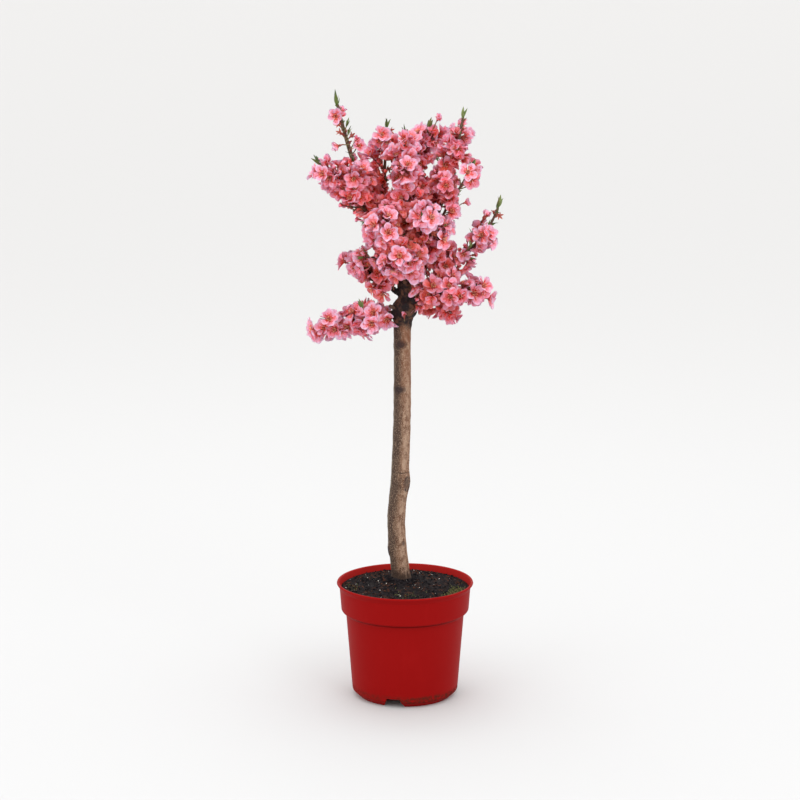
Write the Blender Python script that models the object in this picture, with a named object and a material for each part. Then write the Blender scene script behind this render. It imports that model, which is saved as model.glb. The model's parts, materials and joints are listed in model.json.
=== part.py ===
"""A potted dwarf nectarine tree in full blossom, as separate closed solids.

Lengths are in metres and +Z is up. The origin is the middle of the pot's underside, and the
plant is seen from the side of -Y. The tree is a bare clipped stem with a head of boughs, and
each bough ends where its mass of blossom begins.
"""
import math
import random
from dataclasses import dataclass, field

import bmesh
import bpy
from mathutils import Matrix, Vector
from mathutils.bvhtree import BVHTree

# Clearance between neighbouring solids
GAP = 0.0003

# Pot
POT_HEIGHT = 0.153
POT_SIDES = 32
RIM_RADIUS = 0.090
RIM_ROUND = 0.0008
LIP_DEPTH = 0.0080
COLLAR_DEPTH = 0.0386
COLLAR_TOP_RADIUS = 0.0862
COLLAR_LOW_RADIUS = 0.0840
COLLAR_ROUND = 0.0020
BODY_TOP_RADIUS = 0.0778
BODY_LOW_RADIUS = 0.0697
CHAMFER_HEIGHT = 0.0078
FOOT_RADIUS = 0.0616
FOOT_WIDTH = 0.0022
CHANNEL_HEIGHT = 0.0128
PAD_RADIUS = 0.0240
WALL = 0.0014

# Drainage notches round the foot, and the holes in the roof of the channel behind them
NOTCH_COUNT = 3
NOTCH_FIRST = math.radians(257.0)
NOTCH_HEIGHT = 0.0122
NOTCH_TOP_WIDTH = 0.0170
NOTCH_LOW_WIDTH = 0.0280
DRAIN_COUNT = 6
DRAIN_RADIUS = 0.0050
DRAIN_CIRCLE = 0.0440

# Soil
SOIL_EDGE_HEIGHT = 0.1443
SOIL_TOP_HEIGHT = 0.1514
SOIL_FLAT_RADIUS = 0.0175
SOIL_RINGS = 6
SOIL_ROUGHNESS = 0.0009

# Trunk: height, centre x, centre y and radius of each station
TRUNK_STATIONS = (
    (0.1517, -0.0052, 0.0160, 0.0142),
    (0.1590, -0.0056, 0.0154, 0.0127),
    (0.2000, -0.0100, 0.0130, 0.0121),
    (0.2350, -0.0114, 0.0120, 0.0119),
    (0.3000, -0.0064, 0.0092, 0.0117),
    (0.3950, -0.0036, 0.0070, 0.0115),
    (0.4900, -0.0034, 0.0050, 0.0114),
    (0.5120, -0.0010, 0.0050, 0.0132),
    (0.5330, 0.0016, 0.0050, 0.0100),
    (0.5500, 0.0008, 0.0050, 0.0112),
    (0.5600, 0.0008, 0.0050, 0.0092),
    (0.5650, 0.0008, 0.0050, 0.0045),
)
TRUNK_SIDES = 12
TRUNK_RING_SPACING = 0.018

# Stations that keep a ring of their own: the root flare, and all from the head's foot upwards
FLARE_STATION = 1
HEAD_STATION = 7

# Knots and swellings of the trunk: height, direction in degrees, how far each stands out
KNOTS = (
    (0.5240, 262.0, 0.0014),
    (0.5190, 186.0, 0.0034),
    (0.5170, 350.0, 0.0034),
    (0.4700, 259.0, 0.0008),
    (0.4105, 249.0, 0.0010),
    (0.2840, 325.0, 0.0026),
    (0.2510, 60.0, 0.0014),
    (0.1920, 196.0, 0.0016),
)
KNOT_REACH = 0.0075

# Boughs and twigs
HEAD_AXIS = Vector((0.0005, 0.0050, 0.0))
BOUGH_SIDES = 6
BOUGH_RING_SPACING = 0.012
BOUGH_TIP_RADIUS = 0.0032
STEM_START_RADIUS = 0.0028
STEM_TIP_RADIUS = 0.0015
STEM_RING_SPACING = 0.020
TWIG_ROOT_RADIUS = 0.0018
TWIG_TIP_RADIUS = 0.0013
TWIG_SIDES = 3
TWIG_FIRST_SHARE = 0.08
TWIG_SHARE_SPAN = 0.80
TWIG_LEAN = (48.0, 68.0)
TWIG_FOOT_FACTOR = 1.15
TWIG_TIP_LOSS = 0.50
TWIG_VARIATION = (0.85, 1.10)
TWIG_TRIES = (1.0, 0.75, 0.5)
TWIG_LIFT = 0.18
GOLDEN_ANGLE = math.radians(137.508)

# Blossom: an open five-lobed cup on a short three-sided stalk, whose foot is sunk in the twig
BLOSSOM_RADIUS = (0.0134, 0.0168)
BLOSSOM_SMALLEST = 0.0114
BLOSSOM_STEP = 0.0040
BLOSSOM_LEAN = (58.0, 88.0)
BARE_TWIG_SHARE = 0.40
BARE_STEM_LENGTH = 0.005
BLOSSOM_LOBES = 5
STALK_LENGTH = 0.0062
STALK_RADIUS = 0.0012
LOBE_LIFT = 0.52
VALLEY_SHARE = 0.68
VALLEY_LIFT = 0.38
THROAT_LIFT = 0.24
BLOSSOM_SINK = 0.0005
CLEARANCE = 0.0005

# Leaves at the tips: four-sided blades of eight faces
LEAF_LENGTH = 0.0200
LEAF_WIDTH = 0.0044
LEAF_THICKNESS = 0.0010
LEAF_BROADEST = 0.42
LEAF_SINK = 0.0015
LEAF_SPREAD = math.radians(22.0)
FIRST_LEAF_SPREAD = math.radians(4.0)

SEED = 417


@dataclass(frozen=True)
class Place:
    """A point given by its direction round the head, its reach from the axis and its height."""

    direction: float
    reach: float
    height: float

    def point(self):
        """Return the place as a point in the shared frame."""
        angle = math.radians(self.direction)
        out = Vector((math.cos(angle), math.sin(angle), 0.0)) * self.reach
        return HEAD_AXIS + out + Vector((0.0, 0.0, self.height))


@dataclass(frozen=True)
class Limb:
    """A bough and the blossom mass that grows on from its tip.

    A limb leaves the trunk at a height, or its parent bough at a share of that bough's length.
    """

    name: str
    parent: str
    leaves_at: float
    fork: Place
    tip: Place
    thickness: float
    twigs: int
    twig_length: float
    tip_leaves: int = 0


LIMBS = (
    Limb("low_left", "trunk", 0.512, Place(188, 0.024, 0.506), Place(191, 0.113, 0.493),
         0.0058, 4, 0.018),
    Limb("mid_left", "trunk", 0.531, Place(178, 0.026, 0.547), Place(172, 0.064, 0.576),
         0.0044, 2, 0.024),
    Limb("tall_left", "trunk", 0.547, Place(162, 0.031, 0.606), Place(178, 0.0865, 0.777),
         0.0074, 4, 0.021, 5),
    Limb("outer_left", "tall_left", 0.66, Place(200, 0.041, 0.626), Place(198, 0.113, 0.704),
         0.0042, 4, 0.027, 3),
    Limb("centre_left", "tall_left", 0.82, Place(124, 0.048, 0.630), Place(118, 0.052, 0.744),
         0.0040, 4, 0.026, 3),
    Limb("back_left", "tall_left", 0.44, Place(118, 0.042, 0.588), Place(104, 0.092, 0.656),
         0.0042, 4, 0.028),
    Limb("centre", "trunk", 0.547, Place(262, 0.022, 0.600), Place(268, 0.050, 0.740),
         0.0062, 5, 0.029, 3),
    Limb("front_left", "centre", 0.50, Place(238, 0.040, 0.586), Place(254, 0.086, 0.640),
         0.0040, 4, 0.028),
    Limb("front_right", "centre", 0.72, Place(292, 0.042, 0.596), Place(285, 0.086, 0.650),
         0.0040, 4, 0.028),
    Limb("front_low", "trunk", 0.534, Place(270, 0.030, 0.562), Place(266, 0.096, 0.596),
         0.0048, 4, 0.028),
    Limb("upper_right", "trunk", 0.547, Place(20, 0.034, 0.612), Place(354, 0.073, 0.761),
         0.0074, 5, 0.025, 4),
    Limb("right", "upper_right", 0.42, Place(4, 0.060, 0.578), Place(4, 0.119, 0.646),
         0.0042, 4, 0.020, 5),
    Limb("mid_right", "upper_right", 0.82, Place(342, 0.047, 0.634), Place(338, 0.088, 0.698),
         0.0040, 3, 0.022, 3),
    Limb("centre_right", "upper_right", 0.74, Place(66, 0.038, 0.624), Place(58, 0.056, 0.742),
         0.0040, 4, 0.029, 3),
    Limb("back_right", "upper_right", 0.36, Place(62, 0.044, 0.586), Place(68, 0.092, 0.660),
         0.0042, 4, 0.028),
    Limb("low_right", "trunk", 0.520, Place(330, 0.024, 0.534), Place(343, 0.103, 0.536),
         0.0056, 5, 0.025),
    Limb("under_right", "trunk", 0.514, Place(22, 0.030, 0.525), Place(18, 0.063, 0.507),
         0.0042, 2, 0.018),
    Limb("back_low", "trunk", 0.534, Place(92, 0.030, 0.553), Place(86, 0.098, 0.568),
         0.0048, 4, 0.028),
)


@dataclass
class Piece:
    """A small closed shape of a mass, with what is needed to keep it clear of its neighbours."""

    owner: str
    corners: list
    faces: list
    centre: Vector = field(init=False)
    reach: float = field(init=False)
    tree: BVHTree = field(init=False)

    def __post_init__(self):
        self.centre = sum(self.corners, Vector()) / len(self.corners)
        self.reach = max((corner - self.centre).length for corner in self.corners)
        self.tree = BVHTree.FromPolygons(self.corners, self.faces)

    def clears(self, other):
        """Say whether the other piece lies at least the clearance away."""
        if (self.centre - other.centre).length > self.reach + other.reach + CLEARANCE:
            return True
        if self.tree.overlap(other.tree):
            return False
        pairs = ((self.corners, other.tree), (other.corners, self.tree))
        for corners, tree in pairs:
            for corner in corners:
                if tree.find_nearest(corner, CLEARANCE)[0] is not None:
                    return False
        return True


def clear_scene():
    """Remove every object that the scene starts with."""
    for thing in list(bpy.data.objects):
        bpy.data.objects.remove(thing, do_unlink=True)


def make_material(name, colour, roughness):
    """Return a plain Principled material."""
    material = bpy.data.materials.new(name)
    material.use_nodes = True
    shader = material.node_tree.nodes["Principled BSDF"]
    shader.inputs["Base Color"].default_value = (*colour, 1.0)
    shader.inputs["Roughness"].default_value = roughness
    shader.inputs["Metallic"].default_value = 0.0
    return material


def add_object(name, corners, faces, material, smooth_angle=None):
    """Put a mesh of the given corners and faces in the scene."""
    mesh = bpy.data.meshes.new(name)
    mesh.from_pydata(corners, [], faces)
    mesh.update()
    if smooth_angle is not None:
        mesh.shade_smooth()
        mesh.set_sharp_from_angle(angle=smooth_angle)
    mesh.materials.append(material)
    thing = bpy.data.objects.new(name, mesh)
    bpy.context.scene.collection.objects.link(thing)
    return thing


def baked_mesh(thing):
    """Return a copy of an object's mesh with its modifiers applied."""
    graph = bpy.context.evaluated_depsgraph_get()
    graph.update()
    return bpy.data.meshes.new_from_object(thing.evaluated_get(graph))


def apply_modifiers(thing):
    """Swap an object's mesh for the one its modifiers give, and drop them."""
    mesh = baked_mesh(thing)
    thing.modifiers.clear()
    thing.data = mesh


def loop_islands(bm):
    """Yield the connected groups of faces of a bmesh."""
    left = set(bm.faces)
    while left:
        stack = [left.pop()]
        island = list(stack)
        while stack:
            face = stack.pop()
            for edge in face.edges:
                for other in edge.link_faces:
                    if other in left:
                        left.remove(other)
                        stack.append(other)
                        island.append(other)
        yield island


def island_volume(island):
    """Return the signed volume inside a closed group of faces."""
    volume = 0.0
    for face in island:
        first, *rest = [loop.vert.co for loop in face.loops]
        for a, b in zip(rest, rest[1:]):
            volume += first.dot(a.cross(b)) / 6.0
    return volume


def keep_outer_skin(thing):
    """Keep the largest closed skin: sealed hollows are filled and loose scraps dropped."""
    bm = bmesh.new()
    bm.from_mesh(thing.data)
    islands = sorted(loop_islands(bm), key=island_volume)
    unwanted = [face for island in islands[:-1] for face in island]
    bmesh.ops.delete(bm, geom=unwanted, context="FACES")
    loose = [vert for vert in bm.verts if not vert.link_faces]
    bmesh.ops.delete(bm, geom=loose, context="VERTS")
    bmesh.ops.triangulate(bm, faces=bm.faces)
    bm.to_mesh(thing.data)
    bm.free()


def turned(name, profile, material, smooth_angle):
    """Turn a profile round the Z axis; it runs from the inside over the rim to the outside."""
    mesh = bpy.data.meshes.new(name)
    corners = [(radius, 0.0, height) for radius, height in profile]
    edges = [(index, index + 1) for index in range(len(profile) - 1)]
    mesh.from_pydata(corners, edges, [])
    thing = bpy.data.objects.new(name, mesh)
    bpy.context.scene.collection.objects.link(thing)
    screw = thing.modifiers.new("turn", "SCREW")
    screw.steps = POT_SIDES
    screw.render_steps = POT_SIDES
    screw.use_merge_vertices = True
    screw.merge_threshold = 0.00001
    apply_modifiers(thing)
    thing.data.shade_smooth()
    thing.data.set_sharp_from_angle(angle=smooth_angle)
    thing.data.materials.append(material)
    return thing


def body_radius(height):
    """Return the outer radius of the pot's body, which tapers from the collar to the foot."""
    top = POT_HEIGHT - COLLAR_DEPTH
    share = (height - CHAMFER_HEIGHT) / (top - CHAMFER_HEIGHT)
    return BODY_LOW_RADIUS + share * (BODY_TOP_RADIUS - BODY_LOW_RADIUS)


def pot_inside(clearance):
    """Return the pot's inner profile from its middle to the rim, moved in by the clearance."""
    collar_low = POT_HEIGHT - COLLAR_DEPTH
    floor = CHANNEL_HEIGHT + WALL + clearance
    step = collar_low + COLLAR_ROUND + WALL - clearance
    inset = WALL + clearance
    return [
        (0.0, inset),
        (PAD_RADIUS - inset, inset),
        (PAD_RADIUS - inset + CHANNEL_HEIGHT / 4.0, floor),
        (body_radius(floor) - inset, floor),
        (body_radius(collar_low) - inset, collar_low + WALL / 2.0 + clearance),
        (COLLAR_LOW_RADIUS - inset, step + 2.0 * clearance),
        (COLLAR_TOP_RADIUS - inset, POT_HEIGHT - LIP_DEPTH),
        (RIM_RADIUS - inset, POT_HEIGHT - RIM_ROUND),
    ]


def pot_outside():
    """Return the pot's outer profile from the rim down to the middle of the underside."""
    collar_low = POT_HEIGHT - COLLAR_DEPTH
    return [
        (RIM_RADIUS - RIM_ROUND, POT_HEIGHT),
        (RIM_RADIUS, POT_HEIGHT - RIM_ROUND),
        (RIM_RADIUS, POT_HEIGHT - 2.0 * RIM_ROUND),
        (COLLAR_TOP_RADIUS, POT_HEIGHT - LIP_DEPTH),
        (COLLAR_LOW_RADIUS, collar_low + COLLAR_ROUND),
        (COLLAR_LOW_RADIUS - COLLAR_ROUND / 2.0, collar_low + COLLAR_ROUND / 4.0),
        (BODY_TOP_RADIUS + COLLAR_ROUND, collar_low - COLLAR_ROUND / 2.0),
        (BODY_TOP_RADIUS, collar_low - 2.0 * COLLAR_ROUND),
        (BODY_LOW_RADIUS, CHAMFER_HEIGHT),
        (FOOT_RADIUS, 0.0),
        (FOOT_RADIUS - FOOT_WIDTH, 0.0),
        (BODY_LOW_RADIUS - FOOT_WIDTH, CHAMFER_HEIGHT),
        (BODY_LOW_RADIUS - FOOT_WIDTH, CHANNEL_HEIGHT),
        (PAD_RADIUS + CHANNEL_HEIGHT / 4.0, CHANNEL_HEIGHT),
        (PAD_RADIUS, 0.0),
        (0.0, 0.0),
    ]


def notch_cutter(angle):
    """Return a wedge-shaped cutter for one drainage notch."""
    inner = FOOT_RADIUS - 2.0 * FOOT_WIDTH
    outer = BODY_LOW_RADIUS + FOOT_WIDTH
    low = -FOOT_WIDTH
    grow = (NOTCH_LOW_WIDTH - NOTCH_TOP_WIDTH) / NOTCH_HEIGHT
    half_low = (NOTCH_LOW_WIDTH - grow * low) / 2.0
    half_top = NOTCH_TOP_WIDTH / 2.0
    outline = ((-half_low, low), (half_low, low), (half_top, NOTCH_HEIGHT),
               (-half_top, NOTCH_HEIGHT))
    turn = Matrix.Rotation(angle, 3, "Z")
    corners = [turn @ Vector((radius, side, height))
               for radius in (inner, outer) for side, height in outline]
    faces = [(3, 2, 1, 0), (4, 5, 6, 7), (0, 1, 5, 4), (1, 2, 6, 5), (2, 3, 7, 6), (3, 0, 4, 7)]
    return corners, faces


def drain_cutter(angle):
    """Return an upright eight-sided cutter for one drain hole in the channel's roof."""
    centre = Vector((math.cos(angle), math.sin(angle), 0.0)) * DRAIN_CIRCLE
    path = [centre + Vector((0.0, 0.0, height))
            for height in (CHANNEL_HEIGHT - WALL, CHANNEL_HEIGHT + 2.0 * WALL)]
    return loft(path, [DRAIN_RADIUS, DRAIN_RADIUS], 8)


def cut(thing, cutters):
    """Take every cutter out of an object and remove the cutters."""
    for corners, faces in cutters:
        cutter = add_object(thing.name + "_cutter", corners, faces, thing.data.materials[0])
        cutter.hide_render = True
        cutter.display_type = "WIRE"
        boolean = thing.modifiers.new("cut", "BOOLEAN")
        boolean.operation = "DIFFERENCE"
        boolean.solver = "EXACT"
        boolean.object = cutter
        apply_modifiers(thing)
        bpy.data.objects.remove(cutter, do_unlink=True)


def make_pot(material):
    """Make the nursery pot: collar, tapered body, notched foot and drained base."""
    pot = turned("pot", pot_inside(0.0) + pot_outside(), material, math.radians(30.0))
    notches = [NOTCH_FIRST + index * math.tau / NOTCH_COUNT for index in range(NOTCH_COUNT)]
    drains = [NOTCH_FIRST + index * math.tau / DRAIN_COUNT for index in range(DRAIN_COUNT)]
    cut(pot, [notch_cutter(angle) for angle in notches])
    cut(pot, [drain_cutter(angle) for angle in drains])
    pot.data.shade_smooth()
    pot.data.set_sharp_from_angle(angle=math.radians(30.0))
    return pot


def make_soil(material, rng):
    """Make the soil: it fills the pot and rises in a low mound to a flat spot at the trunk."""
    below = [point for point in pot_inside(GAP) if point[1] < SOIL_EDGE_HEIGHT]
    wall = []
    for radius, height in below[1:]:
        wall.append([Vector((radius * math.cos(angle), radius * math.sin(angle), height))
                     for angle in soil_angles()])
    edge_radius = COLLAR_TOP_RADIUS - WALL - 2.0 * GAP
    foot = Vector((TRUNK_STATIONS[0][1], TRUNK_STATIONS[0][2], 0.0))
    surface = []
    for ring in range(SOIL_RINGS + 1):
        share = ring / SOIL_RINGS
        radius = edge_radius + share * (SOIL_FLAT_RADIUS - edge_radius)
        rise = share * share * (3.0 - 2.0 * share)
        height = SOIL_EDGE_HEIGHT + rise * (SOIL_TOP_HEIGHT - SOIL_EDGE_HEIGHT)
        rough = SOIL_ROUGHNESS if 0 < ring < SOIL_RINGS else 0.0
        surface.append([foot * share
                        + Vector((radius * math.cos(angle), radius * math.sin(angle),
                                  height + rng.uniform(-rough, rough)))
                        for angle in soil_angles()])
    rings = wall + surface
    count = POT_SIDES // 2
    corners = [corner for ring in rings for corner in ring]
    faces = []
    for ring in range(len(rings) - 1):
        for side in range(count):
            a = ring * count + side
            b = ring * count + (side + 1) % count
            faces.append((a, b, b + count, a + count))
    bottom = len(corners)
    corners.append(Vector((0.0, 0.0, below[0][1])))
    last = (len(rings) - 1) * count
    for side in range(count):
        faces.append((bottom, (side + 1) % count, side))
    faces.append(tuple(range(last, last + count)))
    return add_object("soil", corners, faces, material, math.radians(40.0))


def soil_angles():
    """Return the directions of the soil's corners: every second one of the pot's."""
    count = POT_SIDES // 2
    return [index * math.tau / count for index in range(count)]


def smooth_between(stations, value):
    """Read rows of numbers as a smooth curve over their first column."""
    for index in range(len(stations) - 1):
        if value <= stations[index + 1][0] or index == len(stations) - 2:
            break
    before = stations[max(index - 1, 0)]
    low, high = stations[index], stations[index + 1]
    after = stations[min(index + 2, len(stations) - 1)]
    span = high[0] - low[0]
    share = (value - low[0]) / span
    result = []
    for column in range(1, len(low)):
        slope_low = (high[column] - before[column]) / max(high[0] - before[0], span)
        slope_high = (after[column] - low[column]) / max(after[0] - low[0], span)
        square, cube = share ** 2, share ** 3
        result.append(low[column] * (2 * cube - 3 * square + 1)
                      + high[column] * (3 * square - 2 * cube)
                      + slope_low * span * (cube - 2 * square + share)
                      + slope_high * span * (cube - square))
    return result


def trunk_point(height):
    """Return the middle of the trunk at a height."""
    x, y, _ = smooth_between(TRUNK_STATIONS, height)
    return Vector((x, y, height))


def trunk_shape(grow):
    """Return the trunk's corners and faces, with every radius grown by the given length."""
    foot, top = TRUNK_STATIONS[0][0], TRUNK_STATIONS[-1][0]
    count = round((top - foot) / TRUNK_RING_SPACING)
    heights = {foot + (top - foot) * index / count for index in range(count + 1)}
    heights.add(TRUNK_STATIONS[FLARE_STATION][0])
    heights = sorted(heights | {station[0] for station in TRUNK_STATIONS[HEAD_STATION:]})
    heights = [height for index, height in enumerate(heights)
               if index == 0 or height - heights[index - 1] > TRUNK_RING_SPACING / 5.0]
    corners = []
    for height in heights:
        x, y, radius = smooth_between(TRUNK_STATIONS, height)
        end = grow if height == heights[-1] else 0.0
        for side in range(TRUNK_SIDES):
            angle = side * math.tau / TRUNK_SIDES
            out = radius + grow + knot_bulge(height, angle, radius)
            corners.append(Vector((x + out * math.cos(angle), y + out * math.sin(angle),
                                   height + end)))
    return corners, ring_faces(len(heights), TRUNK_SIDES)


def knot_bulge(height, angle, radius):
    """Return how far the knots push the bark out at a height and direction."""
    bulge = 0.0
    for knot_height, direction, size in KNOTS:
        turn = (angle - math.radians(direction) + math.pi) % math.tau - math.pi
        distance = math.hypot(height - knot_height, turn * radius)
        bulge += size * math.exp(-(distance / KNOT_REACH) ** 2)
    return bulge


def ring_faces(rings, sides):
    """Return the faces of a tube of rings, closed by a flat cap at each end."""
    faces = [tuple(reversed(range(sides)))]
    for ring in range(rings - 1):
        for side in range(sides):
            a = ring * sides + side
            b = ring * sides + (side + 1) % sides
            faces.append((a, b, b + sides, a + sides))
    last = (rings - 1) * sides
    faces.append(tuple(range(last, last + sides)))
    return faces


def loft(path, radii, sides, directions=None):
    """Return the corners and faces of a tube along a path, with no twist between its rings."""
    corners = []
    across = None
    for index, point in enumerate(path):
        along = directions[index] if directions else path_direction(path, index)
        if across is None:
            across = along.orthogonal().normalized()
        across = (across - along * across.dot(along)).normalized()
        other = along.cross(across)
        for side in range(sides):
            angle = side * math.tau / sides
            corners.append(point + (across * math.cos(angle) + other * math.sin(angle))
                           * radii[index])
    return corners, ring_faces(len(path), sides)


def limb_named(name):
    """Return the limb of the given name."""
    return next(limb for limb in LIMBS if limb.name == name)


def limb_start(limb):
    """Return the point inside the trunk or the parent bough where a limb starts."""
    if limb.parent == "trunk":
        return trunk_point(limb.leaves_at)
    parent = limb_named(limb.parent)
    return limb_point(parent, limb.leaves_at * fork_share(parent))


def fork_share(limb):
    """Return the share of a limb's length that is bare bough."""
    start, fork, tip = limb_start(limb), limb.fork.point(), limb.tip.point()
    bare = (fork - start).length
    return bare / (bare + (tip - fork).length)


def limb_point(limb, share):
    """Return a point of the curve through a limb's start, its fork and its tip."""
    start, fork, tip = limb_start(limb), limb.fork.point(), limb.tip.point()
    bare = (fork - start).length
    middle = bare / (bare + (tip - fork).length)
    return (start * ((share - middle) * (share - 1.0) / middle)
            + fork * (share * (share - 1.0) / (middle * (middle - 1.0)))
            + tip * (share * (share - middle) / (1.0 - middle)))


def limb_direction(limb, share):
    """Return the direction in which a limb grows at a share of its length."""
    step = 0.01
    return (limb_point(limb, share + step) - limb_point(limb, share - step)).normalized()


def bough_shape(limb, grow):
    """Return a bough's corners and faces, with its radii grown by the given length."""
    end = fork_share(limb)
    length = (limb.fork.point() - limb_start(limb)).length
    count = max(3, round(length / BOUGH_RING_SPACING))
    shares = [end * index / count for index in range(count + 1)]
    radii = [limb.thickness + (BOUGH_TIP_RADIUS - limb.thickness) * share / end + grow
             for share in shares]
    return loft([limb_point(limb, share) for share in shares], radii, BOUGH_SIDES,
                [limb_direction(limb, share) for share in shares])


def make_boughs(trunk_material):
    """Make every bough, cut clear of the trunk or bough that carries it and of its neighbours."""
    boughs = {}
    for limb in LIMBS:
        bough = add_object("bough_" + limb.name, *bough_shape(limb, 0.0), trunk_material)
        if limb.parent == "trunk":
            cut(bough, [trunk_shape(GAP)])
        else:
            cut(bough, [bough_shape(limb_named(limb.parent), GAP)])
        for other in LIMBS[:LIMBS.index(limb)]:
            if other.parent == limb.parent and boughs_touch(bough, boughs[other.name]):
                cut(bough, [bough_shape(other, GAP)])
        keep_outer_skin(bough)
        bough.data.shade_smooth()
        bough.data.set_sharp_from_angle(angle=math.radians(50.0))
        boughs[limb.name] = bough
    return boughs


def boughs_touch(first, second):
    """Say whether two objects' meshes cut into each other."""
    return bool(piece_of(first).tree.overlap(piece_of(second).tree))


def piece_of(thing):
    """Return an object's mesh as a piece, for testing clearances."""
    corners = [vert.co.copy() for vert in thing.data.vertices]
    return Piece(thing.name, corners, [tuple(face.vertices) for face in thing.data.polygons])


def twig_path(start, direction, length):
    """Return a short twig's path, which bends up a little towards the light."""
    lift = Vector((0.0, 0.0, TWIG_LIFT * length))
    middle = start + direction * length / 2.0 + lift / 4.0
    return [start, middle, start + direction * length + lift]


def path_direction(path, index):
    """Return the direction of a path at one of its points."""
    before, after = path[max(index - 1, 0)], path[min(index + 1, len(path) - 1)]
    return (after - before).normalized()


def radial(along, angle):
    """Return a unit vector square to a direction, turned round it by an angle."""
    across = along.cross(Vector((0.0, 0.0, 1.0)))
    if across.length < 0.1:
        across = along.cross(Vector((1.0, 0.0, 0.0)))
    across.normalize()
    return Matrix.Rotation(angle, 3, along) @ across


def blossom_shape(root, facing, roll, radius):
    """Return an open five-lobed cup on a stalk whose foot is sunk in the twig at the root."""
    turn = facing.to_track_quat("Z", "Y").to_matrix() @ Matrix.Rotation(roll, 3, "Z")
    corners = [Vector((0.0, 0.0, -BLOSSOM_SINK))]
    for side in range(TWIG_SIDES):
        angle = side * math.tau / TWIG_SIDES
        corners.append(Vector((STALK_RADIUS * math.cos(angle),
                               STALK_RADIUS * math.sin(angle), STALK_LENGTH)))
    corners.append(Vector((0.0, 0.0, STALK_LENGTH + THROAT_LIFT * radius)))
    count = 2 * BLOSSOM_LOBES
    for index in range(count):
        angle = index * math.tau / count
        lobe = index % 2 == 0
        out = radius if lobe else radius * VALLEY_SHARE
        lift = STALK_LENGTH + radius * (LOBE_LIFT if lobe else VALLEY_LIFT)
        corners.append(Vector((out * math.cos(angle), out * math.sin(angle), lift)))
    foot, neck, throat, rim = 0, 1, TWIG_SIDES + 1, TWIG_SIDES + 2
    faces = []
    for side in range(TWIG_SIDES):
        after = (side + 1) % TWIG_SIDES
        faces.append((foot, neck + after, neck + side))
        first, last = round(side * count / TWIG_SIDES), round((side + 1) * count / TWIG_SIDES)
        for index in range(first, last):
            faces.append((neck + side, rim + (index + 1) % count, rim + index))
        faces.append((neck + side, neck + after, rim + last % count))
    for index in range(count):
        faces.append((throat, rim + index, rim + (index + 1) % count))
    return [root + turn @ corner for corner in corners], faces


def leaf_shape(root, facing, roll):
    """Return a lance-shaped blade of eight faces whose foot is sunk in the twig."""
    turn = facing.to_track_quat("Z", "Y").to_matrix() @ Matrix.Rotation(roll, 3, "Z")
    middle = LEAF_LENGTH * LEAF_BROADEST
    corners = [Vector((0.0, 0.0, -BLOSSOM_SINK)),
               Vector((LEAF_WIDTH / 2.0, 0.0, middle)),
               Vector((0.0, LEAF_THICKNESS / 2.0, middle)),
               Vector((-LEAF_WIDTH / 2.0, 0.0, middle)),
               Vector((0.0, -LEAF_THICKNESS / 2.0, middle)),
               Vector((0.0, 0.0, LEAF_LENGTH))]
    faces = []
    for index in range(4):
        a, b = 1 + index, 1 + (index + 1) % 4
        faces.append((0, b, a))
        faces.append((5, a, b))
    return [root + turn @ corner for corner in corners], faces


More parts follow.
